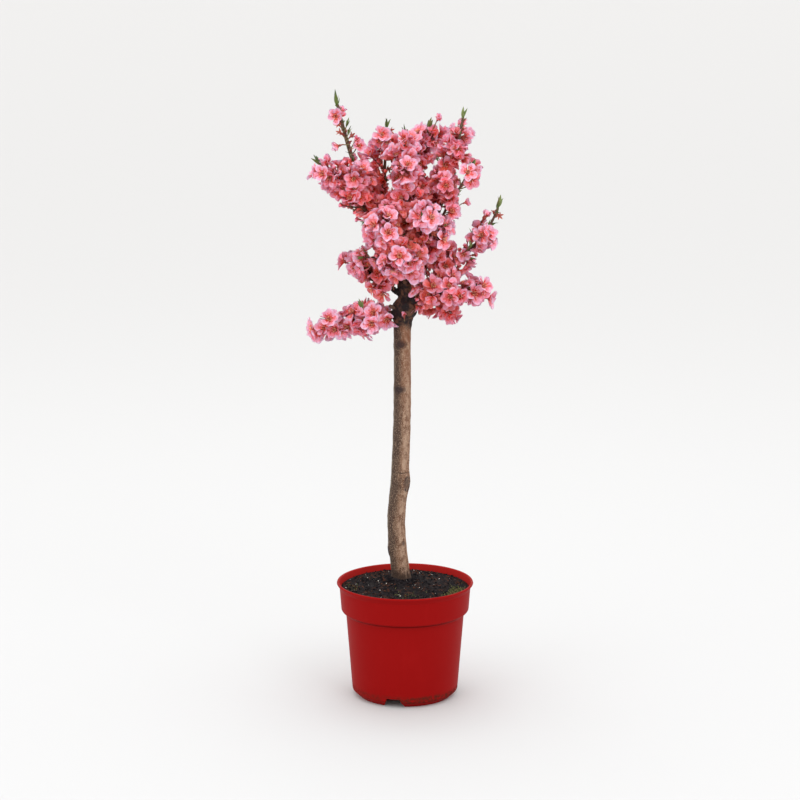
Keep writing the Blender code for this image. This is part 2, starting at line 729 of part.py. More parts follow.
class Masses:
    """The blossom masses while they grow: each keeps to its own space and clear of the rest."""

    def __init__(self, limbs, hard_pieces):
        self.limbs = limbs
        self.hard = hard_pieces
        self.pieces = {limb.name: [] for limb in limbs}
        self.twigs = {limb.name: [] for limb in limbs}
        self.stems = {limb.name: self.stem_path(limb) for limb in limbs}

    def stem_shares(self, limb):
        """Return the shares of a limb's length at which its stem has a ring."""
        foot = fork_share(limb)
        length = (limb.tip.point() - limb.fork.point()).length
        count = max(2, round(length / STEM_RING_SPACING))
        return [foot + (1.0 - foot) * index / count for index in range(count + 1)]

    def stem_path(self, limb):
        """Return the path of a mass's stem, which starts just clear of its bough's tip."""
        shares = self.stem_shares(limb)
        path = [limb_point(limb, share) for share in shares]
        path[0] = path[0] + limb_direction(limb, shares[0]) * GAP
        return path

    def nearest_stem(self, point):
        """Return the name of the mass whose stem passes nearest to a point."""
        def distance(name):
            path = self.stems[name]
            return min(segment_distance(point, a, b) for a, b in zip(path, path[1:]))
        return min(self.stems, key=distance)

    def fits(self, piece, host):
        """Say whether a new piece clears everything but the twig that it grows from."""
        if not all(piece.clears(other) for other in self.hard):
            return False
        return all(piece.clears(other) for pieces in self.pieces.values()
                   for other in pieces if other is not host)

    def add_stem(self, limb):
        """Start a mass with its three-sided stem."""
        path = self.stems[limb.name]
        last = len(path) - 1
        radii = [STEM_START_RADIUS + (STEM_TIP_RADIUS - STEM_START_RADIUS) * index / last
                 for index in range(last + 1)]
        directions = [limb_direction(limb, share) for share in self.stem_shares(limb)]
        shape = loft(path, radii, TWIG_SIDES, directions)
        self.pieces[limb.name].append(Piece(limb.name, *shape))

    def add_twigs(self, limb, rng):
        """Grow side twigs round the stem, shorter towards its tip."""
        foot = fork_share(limb)
        turn = rng.uniform(0.0, math.tau)
        for index in range(limb.twigs):
            share = TWIG_FIRST_SHARE + TWIG_SHARE_SPAN * (index + 0.5) / limb.twigs
            start = limb_point(limb, foot + (1.0 - foot) * share)
            along = limb_direction(limb, foot + (1.0 - foot) * share)
            turn += GOLDEN_ANGLE
            lean = math.radians(rng.uniform(*TWIG_LEAN))
            direction = along * math.cos(lean) + radial(along, turn) * math.sin(lean)
            length = limb.twig_length * (TWIG_FOOT_FACTOR - TWIG_TIP_LOSS * share)
            length *= rng.uniform(*TWIG_VARIATION)
            for shorter in TWIG_TRIES:
                path = twig_path(start, direction.normalized(), length * shorter)
                radii = [TWIG_ROOT_RADIUS, TWIG_TIP_RADIUS, TWIG_TIP_RADIUS]
                piece = Piece(limb.name, *loft(path, radii, TWIG_SIDES))
                stem = self.pieces[limb.name][0]
                if self.nearest_stem(path[-1]) == limb.name and self.fits(piece, stem):
                    self.pieces[limb.name].append(piece)
                    self.twigs[limb.name].append((path, piece))
                    break

    def add_blossom(self, host, root, facing, rng):
        """Add one flower to a twig, unless it leaves the mass's space or meets another piece."""
        radius = rng.uniform(*BLOSSOM_RADIUS)
        roll = rng.uniform(0.0, math.tau)
        if self.nearest_stem(root + facing * radius * LOBE_LIFT) != host.owner:
            return
        for size in (radius, BLOSSOM_SMALLEST):
            piece = Piece(host.owner, *blossom_shape(root, facing, roll, size))
            if self.fits(piece, host):
                self.pieces[host.owner].append(piece)
                return

    def dress_path(self, host, path, rng, first):
        """Set flowers along a twig by the golden angle, with one at its end."""
        length = sum((b - a).length for a, b in zip(path, path[1:]))
        last = path_direction(path, len(path) - 1)
        self.add_blossom(host, path[-1] - last * 2.0 * BLOSSOM_SINK, last, rng)
        count = max(1, round((length - first) / BLOSSOM_STEP))
        turn = rng.uniform(0.0, math.tau)
        for index in range(count):
            at = first + (length - first) * index / count
            root, along = point_along(path, at)
            turn += GOLDEN_ANGLE
            lean = math.radians(rng.uniform(*BLOSSOM_LEAN))
            facing = along * math.cos(lean) + radial(along, turn) * math.sin(lean)
            self.add_blossom(host, root, facing.normalized(), rng)

    def add_leaves(self, limb, rng):
        """Set a tuft of young leaves at the tip of the stem."""
        path = self.stems[limb.name]
        along = path_direction(path, len(path) - 1)
        for index in range(limb.tip_leaves):
            spread = LEAF_SPREAD if index else FIRST_LEAF_SPREAD
            side = radial(along, index * GOLDEN_ANGLE)
            facing = (along * math.cos(spread) + side * math.sin(spread)).normalized()
            root = path[-1] - along * LEAF_SINK
            shape = leaf_shape(root, facing, rng.uniform(0.0, math.tau))
            piece = Piece(limb.name, *shape)
            if self.fits(piece, self.pieces[limb.name][0]):
                self.pieces[limb.name].append(piece)


def segment_distance(point, a, b):
    """Return the distance from a point to the straight line between two others."""
    span = b - a
    share = max(0.0, min(1.0, (point - a).dot(span) / span.length_squared))
    return (point - a - span * share).length


def point_along(path, distance):
    """Return the point at a distance along a path, and the direction there."""
    for a, b in zip(path, path[1:]):
        span = (b - a).length
        if distance <= span:
            return a + (b - a) * distance / span, (b - a).normalized()
        distance -= span
    return path[-1].copy(), (path[-1] - path[-2]).normalized()


def fuse(name, pieces, material):
    """Join a mass's pieces into one closed body with one union on a collection."""
    body = add_object(name, pieces[0].corners, pieces[0].faces, material)
    helpers = bpy.data.collections.new(name + "_pieces")
    bpy.context.scene.collection.children.link(helpers)
    for piece in pieces[1:]:
        helper = add_object(name + "_piece", piece.corners, piece.faces, material)
        bpy.context.scene.collection.objects.unlink(helper)
        helpers.objects.link(helper)
    boolean = body.modifiers.new("union", "BOOLEAN")
    boolean.operation = "UNION"
    boolean.operand_type = "COLLECTION"
    boolean.collection = helpers
    boolean.solver = "EXACT"
    apply_modifiers(body)
    for helper in list(helpers.objects):
        bpy.data.objects.remove(helper, do_unlink=True)
    bpy.data.collections.remove(helpers)
    keep_outer_skin(body)
    return body


def make_masses(boughs, trunk, material, rng):
    """Grow every mass of blossom beside the others, then fuse each into its own node."""
    hard = [piece_of(trunk)] + [piece_of(bough) for bough in boughs.values()]
    masses = Masses(LIMBS, hard)
    for limb in LIMBS:
        masses.add_stem(limb)
    for limb in LIMBS:
        masses.add_twigs(limb, rng)
    for limb in LIMBS:
        masses.add_leaves(limb, rng)
    for limb in LIMBS:
        for path, piece in masses.twigs[limb.name]:
            masses.dress_path(piece, path, rng, BARE_TWIG_SHARE * limb.twig_length)
    for limb in LIMBS:
        stem = masses.pieces[limb.name][0]
        masses.dress_path(stem, masses.stems[limb.name], rng, BARE_STEM_LENGTH)
    for limb in LIMBS:
        fuse("mass_" + limb.name, masses.pieces[limb.name], material)


def main():
    """Build the whole plant."""
    clear_scene()
    rng = random.Random(SEED)
    make_pot(make_material("red_plastic", (0.33, 0.012, 0.012), 0.38))
    make_soil(make_material("compost", (0.035, 0.026, 0.022), 0.95), rng)
    bark = make_material("bark", (0.20, 0.13, 0.09), 0.85)
    trunk = add_object("trunk", *trunk_shape(0.0), bark, math.radians(40.0))
    boughs = make_boughs(bark)
    make_masses(boughs, trunk, make_material("blossom", (0.78, 0.21, 0.30), 0.6), rng)


main()
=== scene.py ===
"""Looks for a potted dwarf nectarine tree in full blossom, built over its solid model.

The crown grows again by the rule of its solid masses and is carried on to finer twigs: stems
leave the boughs, twigs leave the stems by the golden angle, and blossom, buds, spent calyxes
and leaf tufts sit along them. Lengths are in metres, +Z is up and the plant is seen from -Y.
"""
from __future__ import annotations

import json
import logging
import random
from collections.abc import Sequence
from dataclasses import dataclass, field
from enum import Enum
from math import atan2, cos, exp, hypot, pi, radians, sin, sqrt, tan, tau

import bpy
import numpy as np
from mathutils import Matrix, Vector, noise

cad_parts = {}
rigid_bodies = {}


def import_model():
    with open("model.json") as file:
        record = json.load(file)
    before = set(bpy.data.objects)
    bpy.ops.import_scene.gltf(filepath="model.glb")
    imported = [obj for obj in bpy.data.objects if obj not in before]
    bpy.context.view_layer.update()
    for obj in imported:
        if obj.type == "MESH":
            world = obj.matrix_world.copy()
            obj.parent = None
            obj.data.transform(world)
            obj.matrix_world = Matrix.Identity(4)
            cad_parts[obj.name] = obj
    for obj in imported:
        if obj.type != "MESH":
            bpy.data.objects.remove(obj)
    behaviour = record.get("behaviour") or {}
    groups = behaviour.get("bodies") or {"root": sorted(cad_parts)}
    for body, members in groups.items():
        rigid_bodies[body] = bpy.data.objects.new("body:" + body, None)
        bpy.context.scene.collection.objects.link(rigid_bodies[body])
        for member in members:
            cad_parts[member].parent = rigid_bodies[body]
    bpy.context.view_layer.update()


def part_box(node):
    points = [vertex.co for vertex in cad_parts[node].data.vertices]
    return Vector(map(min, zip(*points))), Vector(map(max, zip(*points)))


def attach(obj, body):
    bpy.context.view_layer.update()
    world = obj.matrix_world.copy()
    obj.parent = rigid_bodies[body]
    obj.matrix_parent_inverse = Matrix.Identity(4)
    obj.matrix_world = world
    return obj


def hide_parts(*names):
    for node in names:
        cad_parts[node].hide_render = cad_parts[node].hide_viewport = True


LOG = logging.getLogger("nectarine")
BODY = "root"
SEED = 417
GOLDEN_ANGLE = radians(137.508)
UP = Vector((0.0, 0.0, 1.0))
SMOOTH = pi
ARC_STEPS = 4
EYE = (-0.0066, -3.055, 1.010)

Colour = tuple[float, float, float]
Point = tuple[float, float, float]


class Slot(Enum):
    """The record's material slots."""

    POT = "pot_plastic"
    SOIL = "potting_soil"
    BARK = "bark"
    BLOSSOM = "blossom"


class Side(Enum):
    """The part of the crown that a limb belongs to; each part is one piece of blossom."""

    LEFT = "left"
    MIDDLE = "middle"
    RIGHT = "right"


class Bloom(Enum):
    """How far a flower has come."""

    SPENT = "spent"
    BUD = "bud"
    OPENING = "opening"
    OPEN = "open"
    WIDE = "wide"


# Shader maths

class Flow:
    """A value that runs through a material's nodes, so that maths on it reads as Python."""

    def __init__(self, recipe: Recipe, socket: bpy.types.NodeSocket) -> None:
        """Keep the output socket and the recipe that it belongs to."""
        self.recipe = recipe
        self.socket = socket

    def maths(self, operation: str, first: Flow | float, second: Flow | float) -> Flow:
        """Return a Math node's result for two values."""
        return self.recipe.node("ShaderNodeMath", {"operation": operation}, {0: first, 1: second})

    def __add__(self, other: Flow | float) -> Flow:
        """Add."""
        return self.maths("ADD", self, other)

    __radd__ = __add__

    def __sub__(self, other: Flow | float) -> Flow:
        """Subtract."""
        return self.maths("SUBTRACT", self, other)

    def __rsub__(self, other: Flow | float) -> Flow:
        """Subtract from a number."""
        return self.maths("SUBTRACT", other, self)

    def __mul__(self, other: Flow | float) -> Flow:
        """Multiply."""
        return self.maths("MULTIPLY", self, other)

    def most(self, other: Flow | float) -> Flow:
        """Return the larger of two values."""
        return self.maths("MAXIMUM", self, other)

    def rise(self, low: float, high: float) -> Flow:
        """Return a smooth step: 0 at low, 1 at high, which is the lower for a falling step."""
        return self.recipe.node("ShaderNodeMapRange", {"interpolation_type": "SMOOTHSTEP"},
                                {0: self, 1: low, 2: high, 3: 0.0, 4: 1.0})


class Recipe:
    """A material's node tree while it is put together."""

    def __init__(self, name: str) -> None:
        """Start a material with its Principled shader.

        Args:
            name: the material's name.
        """
        self.material = bpy.data.materials.new(name)
        self.material.use_nodes = True
        self.tree = self.material.node_tree
        self.shader = self.tree.nodes["Principled BSDF"]

    def node(self, kind: str, settings: dict | None = None, values: dict | None = None,
             output: int | str = 0) -> Flow:
        """Add a node.

        Args:
            kind: the node's type.
            settings: its properties, set first.
            values: numbers or flows for its input sockets, by name or number.
            output: the output socket that is wanted.

        Returns:
            That output.
        """
        made = self.tree.nodes.new(kind)
        for name, value in (settings or {}).items():
            setattr(made, name, value)
        for key, value in (values or {}).items():
            self.plug(made.inputs[key], value)
        return Flow(self, made.outputs[output])

    def plug(self, socket: bpy.types.NodeSocket, value: Flow | float | tuple) -> None:
        """Feed an input socket.

        Args:
            socket: the socket.
            value: a flow to link to it, or its plain value.
        """
        if isinstance(value, Flow):
            self.tree.links.new(value.socket, socket)
        else:
            socket.default_value = value

    def place(self) -> Flow:
        """Return the object's own coordinates, in metres."""
        return self.node("ShaderNodeTexCoord", output="Object")

    def part(self, vector: Flow, axis: str) -> Flow:
        """Return one part of a vector."""
        return self.node("ShaderNodeSeparateXYZ", values={0: vector}, output=axis)

    def stretched(self, vector: Flow, scale: Point) -> Flow:
        """Return a vector scaled along each axis."""
        return self.node("ShaderNodeVectorMath", {"operation": "MULTIPLY"}, {0: vector, 1: scale})

    def noise(self, vector: Flow, scale: float, detail: float = 3.0, roughness: float = 0.55) -> Flow:
        """Return smooth noise about one half, with so many finer layers of a strength."""
        return self.node("ShaderNodeTexNoise", values={
            "Vector": vector, "Scale": scale, "Detail": detail, "Roughness": roughness})

    def cells(self, vector: Flow, scale: float) -> Flow:
        """Return the distance to the nearest of a field of scattered points."""
        return self.node("ShaderNodeTexVoronoi", values={"Vector": vector, "Scale": scale},
                         output="Distance")

    def mix(self, share: Flow | float, first: Flow | Colour, second: Flow | Colour) -> Flow:
        """Mix two colours.

        Args:
            share: how much of the second colour shows.
            first: the first colour.
            second: the second colour.

        Returns:
            The mixed colour.
        """
        pair = [value if isinstance(value, Flow) else (*value, 1.0) for value in (first, second)]
        return self.node("ShaderNodeMix", {"data_type": "RGBA"},
                         {0: share, 6: pair[0], 7: pair[1]}, output=2)

    def bump(self, height: Flow, depth: float, strength: float = 1.0) -> Flow:
        """Return a normal bent by a height, of which 1 stands for a depth in metres."""
        return self.node("ShaderNodeBump", values={
            "Height": height, "Distance": depth, "Strength": strength})

    def finished(self, **sockets: Flow | float | tuple) -> bpy.types.Material:
        """Set the Principled shader.

        Args:
            sockets: flows or values by the sockets' names, with underlines for spaces.

        Returns:
            The material.
        """
        for name, value in sockets.items():
            self.plug(self.shader.inputs[name.replace("_", " ")], value)
        return self.material


# Finishes

@dataclass(frozen=True)
class Tint:
    """A plain finish of one colour, for the small things that are dealt out by spray."""

    name: str
    colour: Colour
    roughness: float = 0.55
    gloss: float = 0.5

    def material(self) -> bpy.types.Material:
        """Return the material."""
        return Recipe(self.name).finished(Base_Color=(*self.colour, 1.0),
                                          Roughness=self.roughness,
                                          Specular_IOR_Level=self.gloss)


TINTS = {
    "calyxes": (Tint("calyx_crimson", (0.280, 0.042, 0.026), 0.5),
                Tint("sepal_red", (0.400, 0.080, 0.048), 0.5)),
    "stamens": (Tint("filament_pink", (0.93, 0.44, 0.36), 0.5),
                Tint("anther_amber", (0.92, 0.50, 0.24), 0.7)),
    "leaves": (Tint("leaf_green", (0.130, 0.200, 0.048), 0.45),
               Tint("leaf_pale", (0.215, 0.280, 0.090), 0.45),
               Tint("leaf_dark", (0.062, 0.105, 0.032), 0.45)),
    "twigs": (Tint("twig_brown", (0.105, 0.056, 0.036), 0.8),
              Tint("twig_green", (0.180, 0.140, 0.060), 0.7)),
    "soil_crumbs": (Tint("crumb_black", (0.007, 0.006, 0.008), 0.95, 0.1),
                    Tint("crumb_grey", (0.026, 0.022, 0.024), 0.95, 0.1),
                    Tint("crumb_brown", (0.060, 0.025, 0.016), 0.95, 0.1)),
    "soil_fibres": (Tint("fibre_red", (0.130, 0.050, 0.030), 0.9, 0.15),
                    Tint("fibre_brown", (0.060, 0.034, 0.024), 0.9, 0.15)),
    "perlite": (Tint("perlite_white", (0.78, 0.76, 0.72), 0.9),),
    "moss": (Tint("moss_green", (0.085, 0.100, 0.030), 0.9, 0.15),
             Tint("moss_pale", (0.200, 0.200, 0.080), 0.9, 0.15)),
}


@dataclass(frozen=True)
class PetalTint:
    """A petal's plain finish: one colour, with light that spreads within it, redder inside."""

    name: str
    colour: Colour
    roughness: float = 0.55
    gloss: float = 0.2
    spread: float = 0.007
    spread_colour: Colour = (1.0, 0.40, 0.30)
    share: float = 0.58

    def material(self) -> bpy.types.Material:
        """Make the material.

        Returns:
            The material.
        """
        recipe = Recipe(self.name)
        recipe.shader.subsurface_method = "BURLEY"
        return recipe.finished(
            Base_Color=(*self.colour, 1.0),
            Roughness=self.roughness,
            Specular_IOR_Level=self.gloss,
            Subsurface_Weight=self.share,
            Subsurface_Scale=self.spread,
            Subsurface_Radius=self.spread_colour,
        )


@dataclass(frozen=True)
class PotPlastic:
    """Satin red plastic, scuffed and with a thin line of earth dried on above the foot, a painted
    shadow under the collar and painted light on the inward-facing wall.
    """

    dirt_height: float
    # The height of the collar's lower edge, under which a shadow is painted
    crease_height: float
    colour: Colour = (0.255, 0.0036, 0.0036)
    # Painted light on the inward-facing wall
    worn: Colour = (0.282, 0.0052, 0.0052)
    inner: Colour = (0.345, 0.0120, 0.0105)
    # Painted shadow under the collar
    deep: Colour = (0.075, 0.0016, 0.0016)
    earth: Colour = (0.060, 0.016, 0.010)
    roughness: float = 0.46

    def material(self) -> bpy.types.Material:
        """Make the material.

        Returns:
            The material.
        """
        recipe = Recipe("red_plastic")
        place = recipe.place()
        height = recipe.part(place, "Z")
        streaks = recipe.noise(recipe.stretched(place, (90.0, 90.0, 9.0)), 1.0, 4.0)
        clouds = recipe.noise(place, 22.0, 3.0)
        grain = recipe.noise(place, 900.0, 2.0)
        patches = recipe.noise(place, 260.0, 6.0, 0.75)
        edge = height + (clouds - 0.5) * 0.006
        band = edge.rise(self.dirt_height * 0.28, self.dirt_height * 0.60) * edge.rise(
            self.dirt_height * 1.40, self.dirt_height)
        right = recipe.part(place, "X").rise(-0.030, 0.012) * 0.45 + 0.55
        dirt = band * patches.rise(0.40, 0.56) * right * 0.85
        wear = streaks.rise(0.52, 0.80) * 0.5 + clouds.rise(0.50, 0.75) * 0.4
        plastic = recipe.mix(wear, self.colour, self.worn)
        # Painted light: the inward-facing wall is painted lighter, as if the pot's inside caught more
        # light
        normal = recipe.node("ShaderNodeNewGeometry", output="Normal")
        outward = recipe.part(place, "X") * recipe.part(normal, "X") \
            + recipe.part(place, "Y") * recipe.part(normal, "Y")
        plastic = recipe.mix(outward.rise(-0.030, -0.060), plastic, self.inner)
        # Painted shadow: a dark line just under the collar's overhang
        crease = height.rise(self.crease_height - 0.0036, self.crease_height - 0.0010) \
            * height.rise(self.crease_height + 0.0004, self.crease_height - 0.0002)
        plastic = recipe.mix(crease * 0.75, plastic, self.deep)
        return recipe.finished(
            Base_Color=recipe.mix(dirt, plastic, self.earth),
            Roughness=self.roughness + streaks * 0.10 + dirt * 0.45,
            Normal=recipe.bump(grain + clouds * 2.0 + dirt * 2.0, 0.00008, 0.6),
            Specular_IOR_Level=0.04,
        )


@dataclass(frozen=True)
class Compost:
    """Damp peat: near-black with a purple cast and brown crumbs."""

    dark: Colour = (0.007, 0.006, 0.008)
    light: Colour = (0.024, 0.020, 0.021)
    brown: Colour = (0.062, 0.026, 0.016)

    def material(self) -> bpy.types.Material:
        """Make the material.

        Returns:
            The material.
        """
        recipe = Recipe("compost")
        place = recipe.place()
        lumps = recipe.noise(place, 260.0, 6.0, 0.65)
        crumbs = recipe.cells(place, 620.0)
        earth = recipe.mix(lumps.rise(0.40, 0.68), self.dark, self.light)
        return recipe.finished(
            Base_Color=recipe.mix(recipe.noise(place, 95.0, 4.0).rise(0.56, 0.72), earth,
                                  self.brown),
            Roughness=0.92,
            Specular_IOR_Level=0.1,
            Normal=recipe.bump(lumps * 2.0 + crumbs, 0.0010),
        )


@dataclass(frozen=True)
class Bark:
    """Smooth young bark: tan and speckled, near-black at the head, with painted shade on its left, a
    painted grey rim light at its left edge and a painted highlight right of its middle.
    """

    frame: Frame
    head_height: float
    foot_height: float
    tan: Colour = (0.262, 0.150, 0.094)
    pale: Colour = (0.500, 0.370, 0.270)
    russet: Colour = (0.135, 0.062, 0.036)
    # Painted shade on the left side; also the real dark of the scar ring and the pores
    shade: Colour = (0.050, 0.033, 0.026)
    # Painted grey rim light at the left edge; also real grey flecks on the head
    grey: Colour = (0.215, 0.190, 0.150)
    # Painted highlight right of the middle
    lit: Colour = (0.520, 0.390, 0.300)
    red: Colour = (0.205, 0.082, 0.042)
    knot: Colour = (0.020, 0.014, 0.018)
    scar_height: float = 0.299
    red_height: float = 0.340
    head: Colour = (0.020, 0.014, 0.015)
    head_brown: Colour = (0.125, 0.060, 0.038)
    foot: Colour = (0.036, 0.023, 0.018)

    def knots(self, recipe: Recipe, place: Flow) -> Flow:
        """Return how much of the knots' dark shows: their middles and broken rings.

        Args:
            recipe: the bark's recipe.
            place: the object's own coordinates.

        Returns:
            1 in the dark of a knot, 0 away from all.
        """
        broken = recipe.noise(place, 330.0, 3.0).rise(0.30, 0.58)
        total = None
        for knot in KNOTS:
            if knot.dark == 0.0:
                continue
            middle, radius = self.frame.trunk_at(knot.height)
            out = spoke(radians(knot.direction))
            away = recipe.node("ShaderNodeVectorMath", {"operation": "SUBTRACT"},
                               {0: place, 1: middle + out * (radius + knot.bulge)})
            scale = recipe.stretched(away, (1.0 / knot.half_width, 1.0 / knot.half_width,
                                            1.0 / knot.half_height))
            reach = recipe.node("ShaderNodeVectorMath", {"operation": "LENGTH"}, {0: scale},
                                output="Value")
            ring = reach.rise(0.62, 0.92) * reach.rise(1.40, 1.02) * broken
            spot = (reach.rise(1.30, 0.50) * knot.dark).most(ring * knot.ring)
            total = spot if total is None else total.most(spot)
        return total

    def material(self) -> bpy.types.Material:
        """Make the material.

        Returns:
            The material.
        """
        recipe = Recipe("bark")
        place = recipe.place()
        height = recipe.part(place, "Z")
        normal = recipe.node("ShaderNodeNewGeometry", output="Normal")
        across = recipe.part(normal, "X")
        mottle = recipe.noise(recipe.stretched(place, (1.0, 1.0, 0.55)), 210.0, 6.0, 0.62)
        broad = recipe.noise(recipe.stretched(place, (1.0, 1.0, 0.5)), 46.0, 4.0)
        fine = recipe.noise(place, 760.0, 4.0, 0.7)
        pores = recipe.cells(recipe.stretched(place, (1.0, 1.0, 1.5)), 520.0)
        dots = recipe.cells(recipe.stretched(place, (1.0, 1.0, 0.8)), 760.0)
        wood = recipe.mix(mottle.rise(0.38, 0.58), self.russet, self.tan)
        wood = recipe.mix(fine.rise(0.52, 0.62) * 0.75, wood, self.pale)
        reddish = (height + (broad - 0.5) * 0.08).rise(self.red_height, self.head_height)
        wood = recipe.mix(reddish * mottle.rise(0.66, 0.36) * 0.85, wood, self.red)
        # Painted shade: darker where the normal faces -X, broken up by noise
        left = (0.12 - across * 0.85 + (broad - 0.5) * 0.9).rise(-0.20, 0.62)
        wood = recipe.mix(left * (0.94 - fine.rise(0.52, 0.62) * 0.50), wood, self.shade)
        # Painted highlight: lighter where the normal faces half towards +X
        lit = across.rise(0.05, 0.42) * across.rise(0.92, 0.55) * mottle.rise(0.34, 0.58)
        wood = recipe.mix(lit * (0.36 - reddish * 0.30), wood, self.lit)
        # Painted rim light: grey where the normal faces nearly -X
        rim = (0.0 - across).rise(0.80, 0.98) * mottle.rise(0.38, 0.55)
        wood = recipe.mix(rim * 0.70, wood, self.grey)
        scar = height + (broad - 0.5) * 0.010
        ringed = scar.rise(self.scar_height - 0.0009, self.scar_height) * scar.rise(
            self.scar_height + 0.0014, self.scar_height + 0.0004)
        wood = recipe.mix(ringed * mottle.rise(0.32, 0.46) * 0.85, wood, self.shade)
        wood = recipe.mix(dots.rise(0.26, 0.12) * fine.rise(0.40, 0.52) * 0.75, wood, self.pale)
        wood = recipe.mix(pores.rise(0.22, 0.10) * 0.70, wood, self.shade)
        # Darker towards the trunk's foot
        darker_to_foot = (height + (mottle - 0.5) * 0.030).rise(self.foot_height + 0.022,
                                                        self.foot_height + 0.004)
        wood = recipe.mix(darker_to_foot * 0.90, wood, self.foot)
        patches = recipe.noise(place, 88.0, 5.0, 0.6)
        crown = recipe.mix(patches.rise(0.46, 0.64), self.head, self.head_brown)
        crown = recipe.mix(fine.rise(0.60, 0.72) * 0.30, crown, self.grey)
        top = (height + (broad - 0.5) * 0.040 + (mottle - 0.5) * 0.020).rise(
            self.head_height - 0.016, self.head_height - 0.002)
        knots = self.knots(recipe, place)
        skin = recipe.mix(knots * (0.6 + mottle * 0.6), recipe.mix(top, wood, crown), self.knot)
        return recipe.finished(
            Base_Color=skin,
            Roughness=0.76 + (fine - 0.5) * 0.25,
            Specular_IOR_Level=0.15,
            Normal=recipe.bump(mottle + fine * 0.5 - pores.rise(0.22, 0.08) * 0.3, 0.0008),
        )


# Meshes

@dataclass(frozen=True)
class Shape:
    """A mesh kept as arrays: corners, every face's corner numbers in a row, sizes and slots."""

    corners: np.ndarray
    loops: np.ndarray
    sizes: np.ndarray
    slots: np.ndarray

    @classmethod
    def of(cls, corners: list | np.ndarray, faces: list, slots: list | int = 0) -> Shape:
        """Return a shape.

        Args:
            corners: its points.
            faces: the corner numbers of each face.
            slots: each face's finish, or one for all.

        Returns:
            The shape.
        """
        given = [slots] * len(faces) if isinstance(slots, int) else slots
        return cls(np.array([tuple(corner) for corner in corners], float).reshape(-1, 3),
                   np.array([number for face in faces for number in face], np.int32),
                   np.array([len(face) for face in faces], np.int32),
                   np.array(given, np.int32))

    @classmethod
    def joined(cls, shapes: list[Shape]) -> Shape:
        """Join several shapes.

        Args:
            shapes: the shapes.

        Returns:
            The one shape.
        """
        starts = np.cumsum([0] + [len(shape.corners) for shape in shapes[:-1]])
        return cls(np.concatenate([shape.corners for shape in shapes]),
                   np.concatenate([shape.loops + start for shape, start in zip(shapes, starts)]),
                   np.concatenate([shape.sizes for shape in shapes]),
                   np.concatenate([shape.slots for shape in shapes]))

    def moved(self, turn: Matrix, place: Vector, scale: float = 1.0, shift: int = 0) -> Shape:
        """Return a copy that is turned, scaled and shifted, with a number added to its slots."""
        corners = self.corners @ (np.array(turn).T * scale) + np.array(place)
        return Shape(corners, self.loops, self.sizes, self.slots + shift)

    def built(self, name: str, finishes: list[bpy.types.Material],
              smooth_angle: float | None = SMOOTH) -> bpy.types.Object:
        """Put the shape in the scene.

        Args:
            name: the piece's name.
            finishes: its materials, by slot.
            smooth_angle: edges under this angle are shaded smooth; None for flat faces.

        Returns:
            The new object.
        """
        mesh = bpy.data.meshes.new(name)
        mesh.vertices.add(len(self.corners))
        mesh.vertices.foreach_set("co", self.corners.astype(np.float32).ravel())
        mesh.loops.add(len(self.loops))
        mesh.loops.foreach_set("vertex_index", self.loops)
        mesh.polygons.add(len(self.sizes))
        mesh.polygons.foreach_set("loop_start", np.cumsum(self.sizes) - self.sizes)
        mesh.update(calc_edges=True)
        for finish in finishes:
            mesh.materials.append(finish)
        mesh.polygons.foreach_set("material_index", self.slots)
        mesh.validate()
        if smooth_angle is not None:
            mesh.shade_smooth()
            if smooth_angle < SMOOTH:
                mesh.set_sharp_from_angle(angle=smooth_angle)
        thing = bpy.data.objects.new(name, mesh)
        bpy.context.scene.collection.objects.link(thing)
        return thing


def tube(path: list[Vector], radii: Sequence[float], sides: int, slot: int = 0,
         capped: bool = True) -> Shape:
    """Return a round tube along a path, with no twist between its rings.

    Args:
        path: the points of its middle line.
        radii: its radius at each point.
        sides: how many sides it has.
        slot: its finish.
        capped: whether its ends are closed.

    Returns:
        The shape.
    """
    corners = []
    across = None
    for index, point in enumerate(path):
        along = heading(path, index)
        if across is None:
            across = along.orthogonal().normalized()
        across = (across - along * across.dot(along)).normalized()
        other = along.cross(across)
        for side in range(sides):
            angle = side * tau / sides
            corners.append(point + (across * cos(angle) + other * sin(angle)) * radii[index])
    return Shape.of(corners, ring_faces(len(path), sides, capped=capped), slot)


def ring_faces(rings: int, sides: int, closed: bool = True,
               capped: bool = False) -> list[tuple[int, ...]]:
    """Return the faces between rings of corners.

    Args:
        rings: how many rings there are.
        sides: how many corners each has.
        closed: whether the last corner of a ring joins the first.
        capped: whether a face closes the first ring, and one the last.

    Returns:
        The faces.
    """
    faces = []
    for ring in range(rings - 1):
        for side in range(sides if closed else sides - 1):
            a = ring * sides + side
            b = ring * sides + (side + 1) % sides
            faces.append((a, b, b + sides, a + sides))
    if capped:
        last = (rings - 1) * sides
        faces += [tuple(reversed(range(sides))), tuple(range(last, last + sides))]
    return faces


def spoke(angle: float) -> Vector:
    """Return the level direction at an angle round +Z."""
    return Vector((cos(angle), sin(angle), 0.0))


def circle(radius: float, sides: int) -> list[tuple[float, float]]:
    """Return points round the Z axis, each as x and y."""
    return [(radius * cos(side * tau / sides), radius * sin(side * tau / sides))
            for side in range(sides)]


def heading(path: list[Vector], index: int) -> Vector:
    """Return the direction of a path at one of its points."""
    before, after = path[max(index - 1, 0)], path[min(index + 1, len(path) - 1)]
    return (after - before).normalized()


def radial(along: Vector, angle: float) -> Vector:
    """Return a unit vector square to a direction.

    Args:
        along: the direction.
        angle: how far it is turned round it, in radians.

    Returns:
        The unit vector.
    """
    across = along.cross(UP)
    if across.length < 0.1:
        across = along.cross(Vector((1.0, 0.0, 0.0)))
    across.normalize()
    return Matrix.Rotation(angle, 3, along) @ across


